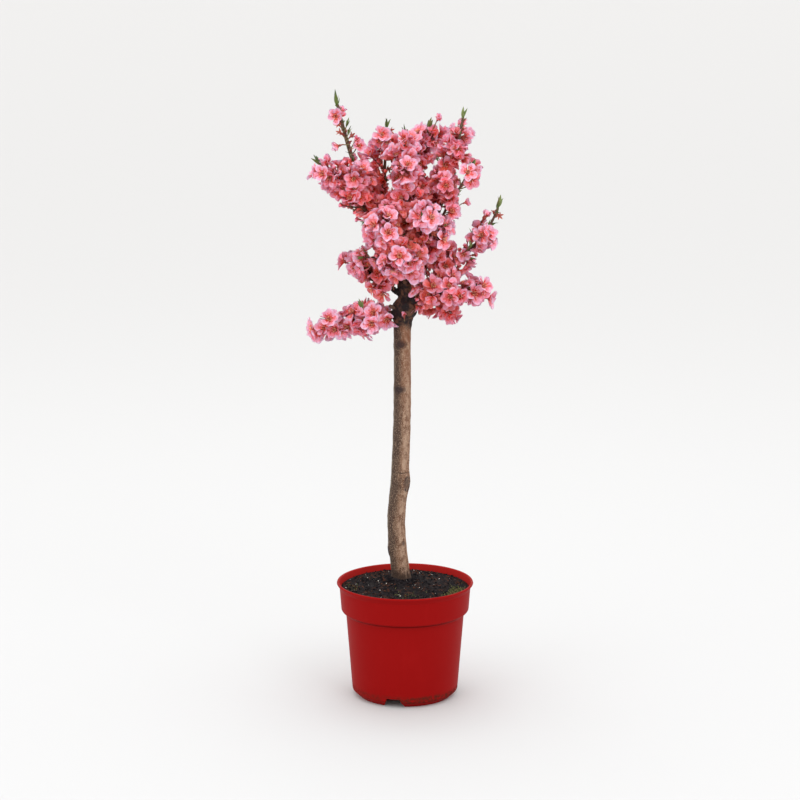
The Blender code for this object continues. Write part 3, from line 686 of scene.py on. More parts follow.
def tapered(thick: float, thin: float, points: int) -> list[float]:
    """Return radii that run evenly from thick to thin."""
    return [thick + (thin - thick) * index / (points - 1) for index in range(points)]


def leaning(along: Vector, turn: float, lean: float) -> Vector:
    """Return a direction that leans from another by degrees, to a side given in radians."""
    angle = radians(lean)
    return (along * cos(angle) + radial(along, turn) * sin(angle)).normalized()


def aimed(facing: Vector, roll: float) -> Matrix:
    """Return the rotation that turns +Z to a direction, with a roll round it."""
    return facing.to_track_quat("Z", "Y").to_matrix() @ Matrix.Rotation(roll, 3, "Z")


def point_along(path: list[Vector], distance: float) -> tuple[Vector, Vector]:
    """Find a place along a path.

    Args:
        path: the path.
        distance: how far along it the place lies.

    Returns:
        The point there and the path's direction.
    """
    for a, b in zip(path, path[1:]):
        span = (b - a).length
        if distance <= span:
            return a + (b - a) * (distance / span), (b - a).normalized()
        distance -= span
    return path[-1].copy(), (path[-1] - path[-2]).normalized()


def path_length(path: list[Vector]) -> float:
    """Return a path's length."""
    return sum((b - a).length for a, b in zip(path, path[1:]))


def take_over(thing: bpy.types.Object, nodes: tuple[str, ...] = ()) -> None:
    """Make a piece ride on the plant's body and stand for the nodes that it replaces.

    Args:
        thing: the piece.
        nodes: the nodes that it stands for.
    """
    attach(thing, BODY)
    if nodes:
        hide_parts(*nodes)
    LOG.info("%s: %d faces", thing.name, len(thing.data.polygons))


def add_small(name: str, shapes: list[Shape],
              smooth_angle: float = SMOOTH) -> None:
    """Add a piece of small things, joined, with the plain finishes that bear its name."""
    finishes = [tint.material() for tint in TINTS[name]]
    take_over(Shape.joined(shapes).built(name, finishes, smooth_angle))


# The limbs, as in the solid model

HEAD_AXIS = (0.0005, 0.0050)


def head_point(direction: float, reach: float, height: float) -> Vector:
    """Return the point in a direction from the head's axis, in degrees, at a reach and height."""
    return Vector((*HEAD_AXIS, height)) + spoke(radians(direction)) * reach


@dataclass(frozen=True)
class Limb:
    """A bough and the mass of blossom that grows on from its tip.

    It leaves the trunk at a height, or its parent bough at a share of that bough's length. Its
    fork and its tip are places round the head: a direction, a reach from the axis and a height.
    Blossom also sits on its bough from spurs_from on, as a share of the bough. Its bare stretch
    is given by two shares of the flowering stem, between which little blossom sits. A stem may
    be stouter than the rest, and its petals get a painted shade shift: above nought they are
    painted as if shaded by so many more flowers over them, below nought paler, as if more lit.
    """

    name: str
    side: Side
    parent: str
    leaves_at: float
    fork: Point
    tip: Point
    thickness: float
    twigs: int
    twig_length: float
    tip_leaves: int = 0
    spurs_from: float = 0.8
    bare: tuple[float, float] = (1.0, 1.0)
    stout: float = 1.0
    painted_shade_shift: float = 0.0


LIMBS = (
    Limb("low_left", Side.LEFT, "trunk", 0.512, (188, 0.024, 0.506),
         (191, 0.113, 0.493), 0.0058, 6, 0.015, 0, 0.95, painted_shade_shift=-3.0),
    Limb("mid_left", Side.LEFT, "trunk", 0.531, (178, 0.026, 0.547),
         (172, 0.064, 0.576), 0.0044, 6, 0.021, 2, 0.25, painted_shade_shift=4.0),
    Limb("tall_left", Side.LEFT, "trunk", 0.547, (162, 0.031, 0.606),
         (178, 0.0865, 0.777), 0.0074, 5, 0.020, 3, 0.9, (0.60, 0.87), 1.40),
    Limb("outer_left", Side.LEFT, "tall_left", 0.66, (200, 0.041, 0.626),
         (198, 0.113, 0.704), 0.0042, 5, 0.026, 3),
    Limb("centre_left", Side.MIDDLE, "tall_left", 0.82, (124, 0.048, 0.630),
         (118, 0.052, 0.744), 0.0040, 6, 0.024, 3),
    Limb("back_left", Side.LEFT, "tall_left", 0.44, (118, 0.042, 0.588),
         (104, 0.092, 0.656), 0.0042, 4, 0.028),
    Limb("centre", Side.MIDDLE, "trunk", 0.547, (262, 0.022, 0.600),
         (268, 0.050, 0.740), 0.0062, 6, 0.028, 3, 0.7),
    Limb("front_left", Side.MIDDLE, "centre", 0.50, (238, 0.040, 0.586),
         (254, 0.086, 0.640), 0.0040, 5, 0.028),
    Limb("front_right", Side.MIDDLE, "centre", 0.72, (292, 0.042, 0.596),
         (285, 0.086, 0.650), 0.0040, 5, 0.028, painted_shade_shift=-2.0),
    Limb("front_low", Side.MIDDLE, "trunk", 0.534, (270, 0.030, 0.562),
         (266, 0.096, 0.596), 0.0048, 5, 0.026, painted_shade_shift=-2.5),
    Limb("upper_right", Side.RIGHT, "trunk", 0.547, (20, 0.034, 0.612),
         (354, 0.073, 0.761), 0.0074, 5, 0.024, 3, 0.6, (0.84, 1.0)),
    Limb("right", Side.RIGHT, "upper_right", 0.42, (4, 0.060, 0.578),
         (4, 0.119, 0.646), 0.0042, 5, 0.018, 4, 0.1, (0.56, 1.0), painted_shade_shift=-1.5),
    Limb("mid_right", Side.RIGHT, "upper_right", 0.82, (342, 0.047, 0.634),
         (338, 0.088, 0.698), 0.0040, 4, 0.022, 2, 0.4, (1.0, 1.0), 0.60),
    Limb("centre_right", Side.RIGHT, "upper_right", 0.74, (66, 0.038, 0.624),
         (58, 0.056, 0.742), 0.0040, 5, 0.028, 3),
    Limb("back_right", Side.RIGHT, "upper_right", 0.36, (62, 0.044, 0.586),
         (68, 0.092, 0.660), 0.0042, 4, 0.028),
    Limb("low_right", Side.RIGHT, "trunk", 0.520, (330, 0.024, 0.534),
         (343, 0.103, 0.536), 0.0056, 6, 0.023, 0, 0.4, painted_shade_shift=2.0),
    Limb("under_right", Side.RIGHT, "trunk", 0.514, (22, 0.030, 0.525),
         (18, 0.063, 0.507), 0.0042, 3, 0.016, 0, 0.7, painted_shade_shift=3.0),
    Limb("back_low", Side.MIDDLE, "trunk", 0.534, (92, 0.030, 0.553),
         (86, 0.098, 0.568), 0.0048, 4, 0.028),
)


@dataclass(frozen=True)
class Station:
    """One station of the trunk."""

    height: float
    x: float
    y: float
    radius: float


TRUNK = (
    Station(0.1517, -0.0052, 0.0160, 0.0142),
    Station(0.1590, -0.0056, 0.0154, 0.0127),
    Station(0.2000, -0.0100, 0.0130, 0.0121),
    Station(0.2350, -0.0114, 0.0120, 0.0119),
    Station(0.3000, -0.0064, 0.0092, 0.0117),
    Station(0.3950, -0.0036, 0.0070, 0.0115),
    Station(0.4900, -0.0034, 0.0050, 0.0114),
    Station(0.5120, -0.0010, 0.0050, 0.0132),
    Station(0.5330, 0.0016, 0.0050, 0.0100),
    Station(0.5500, 0.0008, 0.0050, 0.0112),
    Station(0.5600, 0.0008, 0.0050, 0.0092),
    Station(0.5650, 0.0008, 0.0050, 0.0045),
)


@dataclass(frozen=True)
class Knot:
    """A healed knot of the bark: its place, how far it stands out and how large it is."""

    height: float
    direction: float
    bulge: float
    half_width: float = 0.0042
    half_height: float = 0.0036
    hollow: float = 0.8
    dark: float = 1.0
    ring: float = 0.62


KNOTS = (
    Knot(0.4700, 259.0, 0.0008, 0.0074, 0.0050, 0.8, 0.85),
    Knot(0.4105, 249.0, 0.0010, 0.0076, 0.0052, 0.8, 0.85),
    Knot(0.2840, 318.0, 0.0040, 0.0060, 0.0092, 1.2, 0.70, 1.0),
    Knot(0.1920, 196.0, 0.0016, 0.0040, 0.0052),
    Knot(0.2030, 312.0, 0.0006, 0.0028, 0.0030, 0.4, 0.7),
    Knot(0.3560, 96.0, 0.0010),
    Knot(0.2510, 60.0, 0.0014, 0.0040, 0.0060),
    Knot(0.5190, 186.0, 0.0034, 0.0075, 0.0065, 0.0, 0.0),
    Knot(0.5170, 350.0, 0.0034, 0.0075, 0.0065, 0.0, 0.0),
    Knot(0.5240, 262.0, 0.0014, 0.0060, 0.0060, 0.0, 0.0),
)


@dataclass
class Frame:
    """The curves of trunk and limbs, by the rule that the solid model follows."""

    limbs: tuple[Limb, ...] = LIMBS
    trunk: tuple[Station, ...] = TRUNK

    def named(self, name: str) -> Limb:
        """Return the limb of a name."""
        return next(limb for limb in self.limbs if limb.name == name)

    def trunk_at(self, height: float) -> tuple[Vector, float]:
        """Find the trunk's middle line by smooth curves through its stations.

        Args:
            height: the height above the floor.

        Returns:
            The middle and the radius at that height.
        """
        for index in range(len(self.trunk) - 1):
            if height <= self.trunk[index + 1].height:
                break
        before = self.trunk[max(index - 1, 0)]
        low, high = self.trunk[index], self.trunk[index + 1]
        after = self.trunk[min(index + 2, len(self.trunk) - 1)]
        span = high.height - low.height
        share = (height - low.height) / span
        square, cube = share ** 2, share ** 3
        values = []
        for name in ("x", "y", "radius"):
            start, end = getattr(low, name), getattr(high, name)
            slope_low = (end - getattr(before, name)) / max(high.height - before.height, span)
            slope_high = (getattr(after, name) - start) / max(after.height - low.height, span)
            values.append(start * (2 * cube - 3 * square + 1) + end * (3 * square - 2 * cube)
                          + slope_low * span * (cube - 2 * square + share)
                          + slope_high * span * (cube - square))
        return Vector((values[0], values[1], height)), values[2]

    def start(self, limb: Limb) -> Vector:
        """Find where a limb starts, inside the trunk or the parent bough.

        Args:
            limb: the limb.

        Returns:
            The point.
        """
        if limb.parent == "trunk":
            return self.trunk_at(limb.leaves_at)[0]
        parent = self.named(limb.parent)
        return self.point(parent, limb.leaves_at * self.fork_share(parent))

    def fork_share(self, limb: Limb) -> float:
        """Reckon how much of a limb is bare bough.

        Args:
            limb: the limb.

        Returns:
            The share of its length.
        """
        fork = head_point(*limb.fork)
        bare = (fork - self.start(limb)).length
        return bare / (bare + (head_point(*limb.tip) - fork).length)

    def point(self, limb: Limb, share: float) -> Vector:
        """Return a point of the curve through a limb's start, fork and tip.

        Args:
            limb: the limb.
            share: how far along, from 0 at its start to 1 at its tip.

        Returns:
            The point.
        """
        start, fork, tip = self.start(limb), head_point(*limb.fork), head_point(*limb.tip)
        middle = self.fork_share(limb)
        return (start * ((share - middle) * (share - 1.0) / middle)
                + fork * (share * (share - 1.0) / (middle * (middle - 1.0)))
                + tip * (share * (share - middle) / (1.0 - middle)))


# Wood

@dataclass
class Wood:
    """Trunk and boughs in one skin, with the relief of the bark worked into the mesh."""

    frame: Frame
    voxel: float = 0.0010
    sides: int = 24
    ring_spacing: float = 0.004
    bough_sides: int = 12
    bough_points: int = 14
    bough_end_radius: float = 0.0030
    collar: float = 1.35
    collar_reach: float = 0.16
    smoothing: int = 3
    head_height: float = 0.500
    lump: float = 0.00055
    fissure: float = 0.00040
    dash: float = 0.00016
    head_gain: float = 2.4

    def trunk_shape(self) -> Shape:
        """Make the plain trunk.

        Returns:
            The trunk's shape.
        """
        foot, top = self.frame.trunk[0].height, self.frame.trunk[-1].height
        count = round((top - foot) / self.ring_spacing)
        corners = []
        for index in range(count + 1):
            middle, radius = self.frame.trunk_at(foot + (top - foot) * index / count)
            corners += [middle + spoke(side * tau / self.sides) * radius for side in range(self.sides)]
        return Shape.of(corners, ring_faces(count + 1, self.sides, capped=True))

    def bough_shape(self, limb: Limb) -> Shape:
        """Make one plain bough, which swells to a collar at its parent.

        Args:
            limb: the limb that it starts.

        Returns:
            The bough's shape.
        """
        end = self.frame.fork_share(limb)
        shares = [index / (self.bough_points - 1) for index in range(self.bough_points)]
        radii = []
        for share in shares:
            radius = limb.thickness + (self.bough_end_radius - limb.thickness) * share
            swell = 1.0 + (self.collar - 1.0) * exp(-(share / self.collar_reach) ** 2)
            radii.append(radius * swell)
        path = [self.frame.point(limb, end * share) for share in shares]
        return tube(path, radii, self.bough_sides)

    def relief(self, point: Vector) -> float:
        """Work out how far the bark stands out: lumps, grooves, dashes and knots.

        Args:
            point: a point of the plain skin.

        Returns:
            The height above it, in metres.
        """
        head = smooth_step((point.z - self.head_height + 0.02) / 0.03)
        gain = 1.0 + (self.head_gain - 1.0) * head
        lumps = noise.noise(point * 85.0) + 1.2 * head * noise.noise(point * 190.0)
        grooves = abs(noise.noise(Vector((point.x * 330.0, point.y * 330.0, point.z * 62.0))))
        dashes = noise.noise(Vector((point.x * 240.0, point.y * 240.0, point.z * 1050.0)))
        height = gain * (self.lump * lumps - self.fissure * (0.5 - grooves))
        height += self.dash * max(0.0, dashes - 0.15) * 3.0
        return height + self.knot_height(point)

    def knot_height(self, point: Vector) -> float:
        """Work out how far the knots push the bark out: a ring round a hollow.

        Args:
            point: a point of the plain skin.

        Returns:
            The height above it, in metres.
        """
        total = 0.0
        for knot in KNOTS:
            if abs(point.z - knot.height) > 3.0 * knot.half_height:
                continue
            middle, radius = self.frame.trunk_at(knot.height)
            if hypot(point.x - middle.x, point.y - middle.y) > 1.8 * radius:
                continue
            angle = atan2(point.y - middle.y, point.x - middle.x)
            turn = (angle - radians(knot.direction) + pi) % tau - pi
            away = hypot((point.z - knot.height) / knot.half_height, turn * radius / knot.half_width)
            total += knot.bulge * (1.25 * exp(-(away / 1.5) ** 2)
                                   - knot.hollow * exp(-(away / 0.6) ** 2))
        return total

    def build(self) -> None:
        """Make the skin."""
        shapes = [self.trunk_shape()] + [self.bough_shape(limb) for limb in self.frame.limbs]
        foot = self.frame.trunk[0].height
        finish = Bark(self.frame, self.head_height, foot).material()
        skin = Shape.joined(shapes).built("bark_skin", [finish])
        remesh = skin.modifiers.new("one_skin", "REMESH")
        remesh.mode = "VOXEL"
        remesh.voxel_size = self.voxel
        soften = skin.modifiers.new("soften", "SMOOTH")
        soften.iterations = self.smoothing
        bake_modifiers(skin)
        mesh = skin.data
        mesh.materials.clear()
        mesh.materials.append(finish)
        moved = np.empty((len(mesh.vertices), 3), np.float32)
        for index, vertex in enumerate(mesh.vertices):
            normal = vertex.normal
            out = vertex.co + normal * self.relief(vertex.co)
            out.z = max(out.z, foot)
            moved[index] = out
        mesh.vertices.foreach_set("co", moved.ravel())
        mesh.update()
        mesh.shade_smooth()
        boughs = tuple("bough_" + limb.name for limb in self.frame.limbs)
        take_over(skin, ("trunk", *boughs))


def smooth_step(share: float) -> float:
    """Return a smooth step from 0 to 1."""
    held = max(0.0, min(1.0, share))
    return held * held * (3.0 - 2.0 * held)


def bake_modifiers(thing: bpy.types.Object) -> None:
    """Swap an object's mesh for the one that its modifiers give, and drop them.

    Args:
        thing: the object.
    """
    graph = bpy.context.evaluated_depsgraph_get()
    graph.update()
    mesh = bpy.data.meshes.new_from_object(thing.evaluated_get(graph))
    thing.modifiers.clear()
    thing.data = mesh


# Blossom

@dataclass(frozen=True)
class Opening:
    """How far the petals stand open: their angle above the flat at the foot and at the tip."""

    foot_angle: float
    tip_angle: float
    size: float
    stamens: int


OPENINGS = {
    Bloom.BUD: Opening(84.0, 118.0, 0.50, 0),
    Bloom.OPENING: Opening(68.0, 54.0, 0.86, 9),
    Bloom.OPEN: Opening(50.0, 20.0, 1.00, 13),
    Bloom.WIDE: Opening(32.0, -4.0, 1.02, 15),
}

# The share of all flowers that goes to a kind and those before it
BLOOM_SHARES = (
    (Bloom.SPENT, 0.06),
    (Bloom.BUD, 0.11),
    (Bloom.OPENING, 0.36),
    (Bloom.WIDE, 0.48),
    (Bloom.OPEN, 1.01),
)


class Tone(Enum):
    """The tints of a petal, in the order of their slots: painted shade, from the open petals, painted
    palest, to the covered ones, painted deeper and warmer as if in shade with light through them.
    """

    PALE = 0
    FRESH = 1
    DEEP = 2
    SHADED = 3


# The share of all petals at which the next tone starts
TONE_SHARES = (0.22, 0.48, 0.72)


@dataclass
class Blossom:
    """Five-petalled flowers: cupped petals, a ring of stamens and a crimson calyx."""

    petal_length: float = 0.0150
    petal_width: float = 0.0126
    claw_radius: float = 0.0011
    rows: int = 7
    columns: int = 5
    bands: int = 9
    cup: float = 0.46
    ruffle: float = 0.0009
    crease: float = 0.0009
    streak: float = 0.7
    stalk: float = 0.0028
    calyx_length: float = 0.0040
    calyx_radius: float = 0.0021
    sepal_length: float = 0.0046
    stalk_radii: tuple[float, float] = (0.0009, 0.0011)
    stamen_length: float = 0.0064
    stamen_ring: float = 0.0010
    filament_radii: tuple[float, float] = (0.00020, 0.00014)
    anther_size: tuple[float, float] = (0.00046, 0.00062)
    variants: int = 7

    def petal(self, opening: Opening, rng: random.Random) -> Shape:
        """Return one petal, which grows out along +X from the middle of the flower.

        Args:
            opening: how far the flower is open.
            rng: the source of its small differences.

        Returns:
            The petal.
        """
        length = self.petal_length * rng.uniform(0.92, 1.06)
        width = self.petal_width * rng.uniform(0.88, 1.08)
        cup = self.cup * rng.uniform(0.6, 1.4)
        foot_turn = rng.uniform(-11.0, 11.0)
        tip_turn = rng.uniform(-22.0, 18.0)
        phase = rng.uniform(0.0, tau)
        out, up, last = self.claw_radius, 0.0, 0.0
        corners = []
        for row in range(self.rows + 1):
            station = 0.03 + 0.965 * sin(pi / 2.0 * row / self.rows) ** 1.15
            angle = radians(opening.foot_angle + foot_turn + (
                opening.tip_angle + tip_turn - opening.foot_angle) * station)
            step = (station - last) * length
            out += step * cos(angle)
            up += step * sin(angle)
            last = station
            half = width / 2.0 * self.outline(station)
            for column in range(self.columns + 1):
                side = 2.0 * column / self.columns - 1.0
                rise = (cup * half * side * side * (1.0 - 0.35 * station)
                        - self.crease * sin(pi * station) * (1.0 - abs(side)) ** 2)
                turn = 3.2 * side * pi / 2 + 5.0 * station + phase
                wave = self.ruffle * station * abs(side) * sin(turn)
                pull = 0.16 * length * station * (2.0 * half * side / width) ** 2
                corners.append((out - sin(angle) * rise - pull * cos(angle),
                                half * side,
                                up + cos(angle) * rise - pull * sin(angle) + wave))
        faces = ring_faces(self.rows + 1, self.columns + 1, closed=False)
        slots = [self.band(row, column, rng) for row in range(self.rows)
                 for column in range(self.columns)]
        return Shape.of(corners, faces, slots)

    @staticmethod
    def outline(station: float) -> float:
        """Return a petal's half width along its length, as a share of the widest."""
        return 1.72 * station ** 1.02 * sqrt(max(0.0, 1.0 - station ** 3.4))

    def band(self, row: int, column: int, rng: random.Random) -> int:
        """Choose the colour of one face of a petal: the red runs further up its middle.

        Args:
            row: its row from the claw.
            column: its column.
            rng: the source of the streaks.

        Returns:
            The number of its colour band.
        """
        side = abs(2.0 * (column + 0.5) / self.columns - 1.0)
        share = (row + 0.5) / self.rows * (0.84 + 0.30 * side)
        band = share * self.bands + rng.gauss(0.0, self.streak)
        return max(0, min(self.bands - 1, int(band)))

    def corolla(self, bloom: Bloom, rng: random.Random) -> Shape:
        """Make a flower's five petals round +Z, above its calyx.

        Args:
            bloom: how far it is open.
            rng: the source of its small differences.

        Returns:
            The petals.
        """
        opening = OPENINGS[bloom]
        petals = []
        base = UP * (self.stalk + self.calyx_length * 0.8)
        for index in range(5):
            angle = index * tau / 5.0 + rng.uniform(-0.12, 0.12)
            tilt = radians(rng.uniform(6.0, 24.0))
            turn = Matrix.Rotation(angle, 3, "Z") @ Matrix.Rotation(tilt, 3, "X")
            petals.append(self.petal(opening, rng).moved(turn, base, opening.size))
        return Shape.joined(petals)

    def calyx(self, spent: bool, rng: random.Random) -> Shape:
        """Make the stalk, cup and five sepals of a flower.

        Args:
            spent: whether the sepals spread as a star, their petals gone.
            rng: the source of their lean.

        Returns:
            The calyx, from the foot of its stalk.
        """
        path = [UP * height for height in (-0.0012, self.stalk,
                                           self.stalk + self.calyx_length * 0.45,
                                           self.stalk + self.calyx_length)]
        radii = [*self.stalk_radii, self.calyx_radius, self.calyx_radius * 0.82]
        parts = [tube(path, radii, 6)]
        lean = radians(rng.uniform(52.0, 70.0) if spent else rng.uniform(24.0, 44.0))
        long = self.sepal_length * (1.15 if spent else 1.0)
        wide, root = self.calyx_radius * 0.72, self.calyx_radius * 0.70
        half, rise = root + long * 0.5 * sin(lean), long * 0.5 * cos(lean)
        blade = [(root, -wide, 0.0), (root, wide, 0.0), (half, wide * 0.8, rise),
                 (half, -wide * 0.8, rise), (root + long * sin(lean), 0.0, long * cos(lean))]
        sepal = Shape.of(blade, [(0, 1, 2, 3), (3, 2, 4)], 1)
        for index in range(5):
            turn = Matrix.Rotation((index + 0.5) * tau / 5.0, 3, "Z")
            parts.append(sepal.moved(turn, path[-1]))
        return Shape.joined(parts)

    def stamens(self, count: int, rng: random.Random) -> Shape:
        """Make a ring of stamens that lean outwards, each with an anther.

        Args:
            count: how many.
            rng: the source of their lean and length.

        Returns:
            The stamens.
        """
        parts = []
        base = UP * (self.stalk + self.calyx_length * 0.75)
        for index in range(count):
            lean = radians(rng.uniform(6.0, 34.0))
            out = spoke(index * GOLDEN_ANGLE)
            foot = base + out * self.stamen_ring
            tip = foot + (out * sin(lean) + UP * cos(lean)) * (
                self.stamen_length * rng.uniform(0.72, 1.08))
            parts.append(tube([foot, tip], self.filament_radii, 3, capped=False))
            parts.append(self.anther(tip, rng))
        return Shape.joined(parts)

    def anther(self, place: Vector, rng: random.Random) -> Shape:
        """Make a small eight-faced anther.

        Args:
            place: its middle.
            rng: the source of its size.

        Returns:
            The anther.
        """
        size = rng.uniform(*self.anther_size)
        corners = [(size, 0, 0), (0, size, 0), (-size, 0, 0), (0, -size, 0),
                   (0, 0, size * 0.8), (0, 0, -size * 0.8)]
        faces = [(0, 1, 4), (1, 2, 4), (2, 3, 4), (3, 0, 4), (1, 0, 5), (2, 1, 5), (3, 2, 5), (0, 3, 5)]
        return Shape.of(corners, faces, 1).moved(Matrix.Identity(3), place)


@dataclass
class Foliage:
    """Young lance-shaped leaves, folded along the rib, in close upright tufts."""

    length: float = 0.0185
    width: float = 0.0041
    stations: int = 6
    fold: float = 0.55
    curl: float = 0.10

    def leaf(self, rng: random.Random) -> Shape:
        """Make one leaf, which grows along +Z and curls towards +X.

        Args:
            rng: the source of its size and curl.

        Returns:
            The leaf.
        """
        length = self.length * rng.uniform(0.75, 1.1)
        width = self.width * rng.uniform(0.85, 1.15)
        curl = self.curl * rng.uniform(0.2, 2.2)
        corners = []
        for index in range(self.stations + 1):
            share = index / self.stations
            half = width / 2.0 * (sin(pi * share ** 0.85) * (1.0 - 0.25 * share) + 0.10 * (1.0 - share))
            bend = curl * length * share * share
            for side in (-1.0, 0.0, 1.0):
                corners.append((bend - abs(side) * half * self.fold, half * side,
                                length * share * (1.0 - 0.2 * curl * share)))
        return Shape.of(corners, ring_faces(self.stations + 1, 3, closed=False))


@dataclass
class Shoot:
    """A stem, twig or spur: its path, its radii and the limb that it belongs to."""

    limb: Limb
    path: list[Vector]
    radii: list[float]
    order: int


@dataclass(frozen=True)
class Flower:
    """A flower in its place, with its petals still without their tint."""

    limb: Limb
    petals: Shape
    centre: Vector
    facing: Vector


@dataclass(frozen=True)
class SkyGap:
    """An opening of the crown, seen from the front, where nothing may grow."""

    x: float
    z: float
    half_width: float
    half_height: float


SKY_GAPS = tuple(SkyGap(*row) for row in (
    (-0.0196, 0.6985, 0.0010, 0.008),
    (-0.0190, 0.6750, 0.0012, 0.007),
    (0.0297, 0.693, 0.0008, 0.006),
    (0.0490, 0.643, 0.0030, 0.005),
    (0.0722, 0.620, 0.0060, 0.010),
    (0.0690, 0.604, 0.0030, 0.008),
    (0.1010, 0.580, 0.0080, 0.005),
    (0.1020, 0.563, 0.0070, 0.006),
    (0.0840, 0.511, 0.0090, 0.006),
    (0.0765, 0.664, 0.0075, 0.006),
    (0.0715, 0.693, 0.0026, 0.008),
    (0.1010, 0.662, 0.0125, 0.010),
    (0.0860, 0.722, 0.0050, 0.006),
    (0.0840, 0.774, 0.0140, 0.011),
    (0.0150, 0.764, 0.0070, 0.008),
    (0.0600, 0.767, 0.0060, 0.008),
    (-0.0450, 0.588, 0.0018, 0.004),
    (-0.0680, 0.606, 0.0130, 0.014),
    (-0.0800, 0.634, 0.0140, 0.010),
    (-0.0960, 0.529, 0.0110, 0.008),
    (-0.0680, 0.540, 0.0230, 0.009),
    (0.0100, 0.502, 0.0160, 0.006),
    (-0.0475, 0.751, 0.0062, 0.017),
    (-0.0840, 0.714, 0.0050, 0.006),
    (-0.0140, 0.753, 0.0060, 0.010),
    (-0.1040, 0.742, 0.0100, 0.012),
    (-0.0560, 0.778, 0.0140, 0.013),
    (0.0000, 0.538, 0.0120, 0.012),
    (0.0140, 0.498, 0.0060, 0.006),
))


@dataclass(frozen=True)
class Sprig:
    """A lone side twig that the photo shows: the places of its foot and tip, and what sits there."""

    limb: str
    foot: Point
    tip: Point
    bloom: Bloom | None
    size: float
    radius: float = 0.0008


SPRIGS = tuple(Sprig(*row) for row in (
    ("mid_right", (341, 0.050, 0.640), (344, 0.074, 0.648), Bloom.OPENING, 0.62),
    ("right", (4, 0.092, 0.613), (3, 0.098, 0.624), Bloom.BUD, 1.35),
    ("low_left", (264, 0.0105, 0.498), (263, 0.0128, 0.503), Bloom.BUD, 0.80),
    ("low_left", (256, 0.0105, 0.500), (257, 0.0128, 0.504), Bloom.BUD, 0.50),
    ("low_left", (200, 0.010, 0.516), (206, 0.023, 0.518), None, 0.0, 0.0026),
    ("tall_left", (178, 0.072, 0.727), (180, 0.080, 0.725), Bloom.OPENING, 0.80),
    ("mid_right", (338, 0.080, 0.688), (344, 0.086, 0.696), Bloom.OPEN, 0.80),
    ("mid_right", (338, 0.076, 0.678), (345, 0.082, 0.681), Bloom.OPEN, 0.75),
    ("mid_right", (338, 0.080, 0.688), (332, 0.087, 0.692), Bloom.WIDE, 0.80),
    ("low_left", (196, 0.022, 0.510), (214, 0.028, 0.506), Bloom.OPEN, 1.0),
    ("mid_left", (180, 0.025, 0.546), (198, 0.029, 0.539), Bloom.OPEN, 0.90),
    ("mid_left", (179, 0.030, 0.550), (186, 0.038, 0.544), Bloom.WIDE, 0.90),
    ("front_low", (275, 0.030, 0.559), (282, 0.034, 0.551), Bloom.OPEN, 0.90),
    ("tall_left", (178, 0.071, 0.712), (196, 0.064, 0.720), Bloom.OPEN, 0.72),
    ("tall_left", (178, 0.073, 0.718), (204, 0.070, 0.727), Bloom.OPENING, 0.72),
    ("centre_right", (56, 0.054, 0.732), (38, 0.050, 0.748), Bloom.OPENING, 0.66),
    ("centre", (268, 0.046, 0.640), (282, 0.054, 0.646), None, 0.85),
    ("outer_left", (190, 0.060, 0.690), (200, 0.070, 0.703), None, 0.85),
    ("right", (4, 0.074, 0.588), (346, 0.084, 0.592), None, 0.85),
    ("tall_left", (178, 0.0790, 0.742), (178, 0.0755, 0.748), None, 0.80),
    ("tall_left", (178, 0.0765, 0.733), (178, 0.0735, 0.738), None, 0.72),
    ("tall_left", (178, 0.0800, 0.746), (182, 0.0830, 0.749), Bloom.SPENT, 0.95),
    ("tall_left", (178, 0.0770, 0.735), (180, 0.0800, 0.738), Bloom.SPENT, 0.95),
    ("tall_left", (178, 0.0760, 0.730), (174, 0.0725, 0.733), Bloom.SPENT, 0.95),
    ("right", (4, 0.113, 0.638), (0, 0.117, 0.636), Bloom.SPENT, 0.95),
    ("tall_left", (178, 0.0855, 0.758), (176, 0.0842, 0.7615), Bloom.OPENING, 0.78),
    ("tall_left", (178, 0.0850, 0.760), (186, 0.0878, 0.7612), Bloom.OPEN, 0.80),
    ("tall_left", (178, 0.0865, 0.774), (178, 0.0870, 0.777), None, 0.95),
    ("mid_right", (342, 0.050, 0.640), (336, 0.056, 0.648), Bloom.OPEN, 0.95),
    ("mid_right", (341, 0.056, 0.652), (334, 0.060, 0.662), Bloom.WIDE, 0.95),
    ("low_left", (191, 0.100, 0.4955), (198, 0.103, 0.502), Bloom.OPEN, 0.90),
    ("low_left", (191, 0.096, 0.4960), (187, 0.099, 0.489), Bloom.WIDE, 0.90),
    ("low_left", (205, 0.056, 0.512), (203, 0.060, 0.518), None, 0.95),
    ("front_right", (272, 0.026, 0.612), (277, 0.036, 0.617), Bloom.OPEN, 0.92),
    ("front_left", (262, 0.024, 0.622), (255, 0.034, 0.628), Bloom.OPEN, 0.96),
    ("centre", (276, 0.022, 0.632), (281, 0.033, 0.637), Bloom.OPEN, 0.90),
    ("front_left", (264, 0.024, 0.602), (258, 0.033, 0.605), Bloom.OPENING, 0.95),
    ("centre", (262, 0.024, 0.640), (262, 0.032, 0.647), Bloom.OPENING, 0.95),
    ("front_right", (267, 0.031, 0.624), (268, 0.0411, 0.628), Bloom.OPEN, 1.0),
    ("front_right", (290, 0.030, 0.606), (288, 0.0400, 0.611), Bloom.OPENING, 1.0),
    ("low_left", (202, 0.038, 0.503), (213, 0.048, 0.5005), Bloom.OPEN, 1.0),
    ("low_left", (202, 0.038, 0.504), (211, 0.045, 0.5090), Bloom.OPEN, 0.95),
))


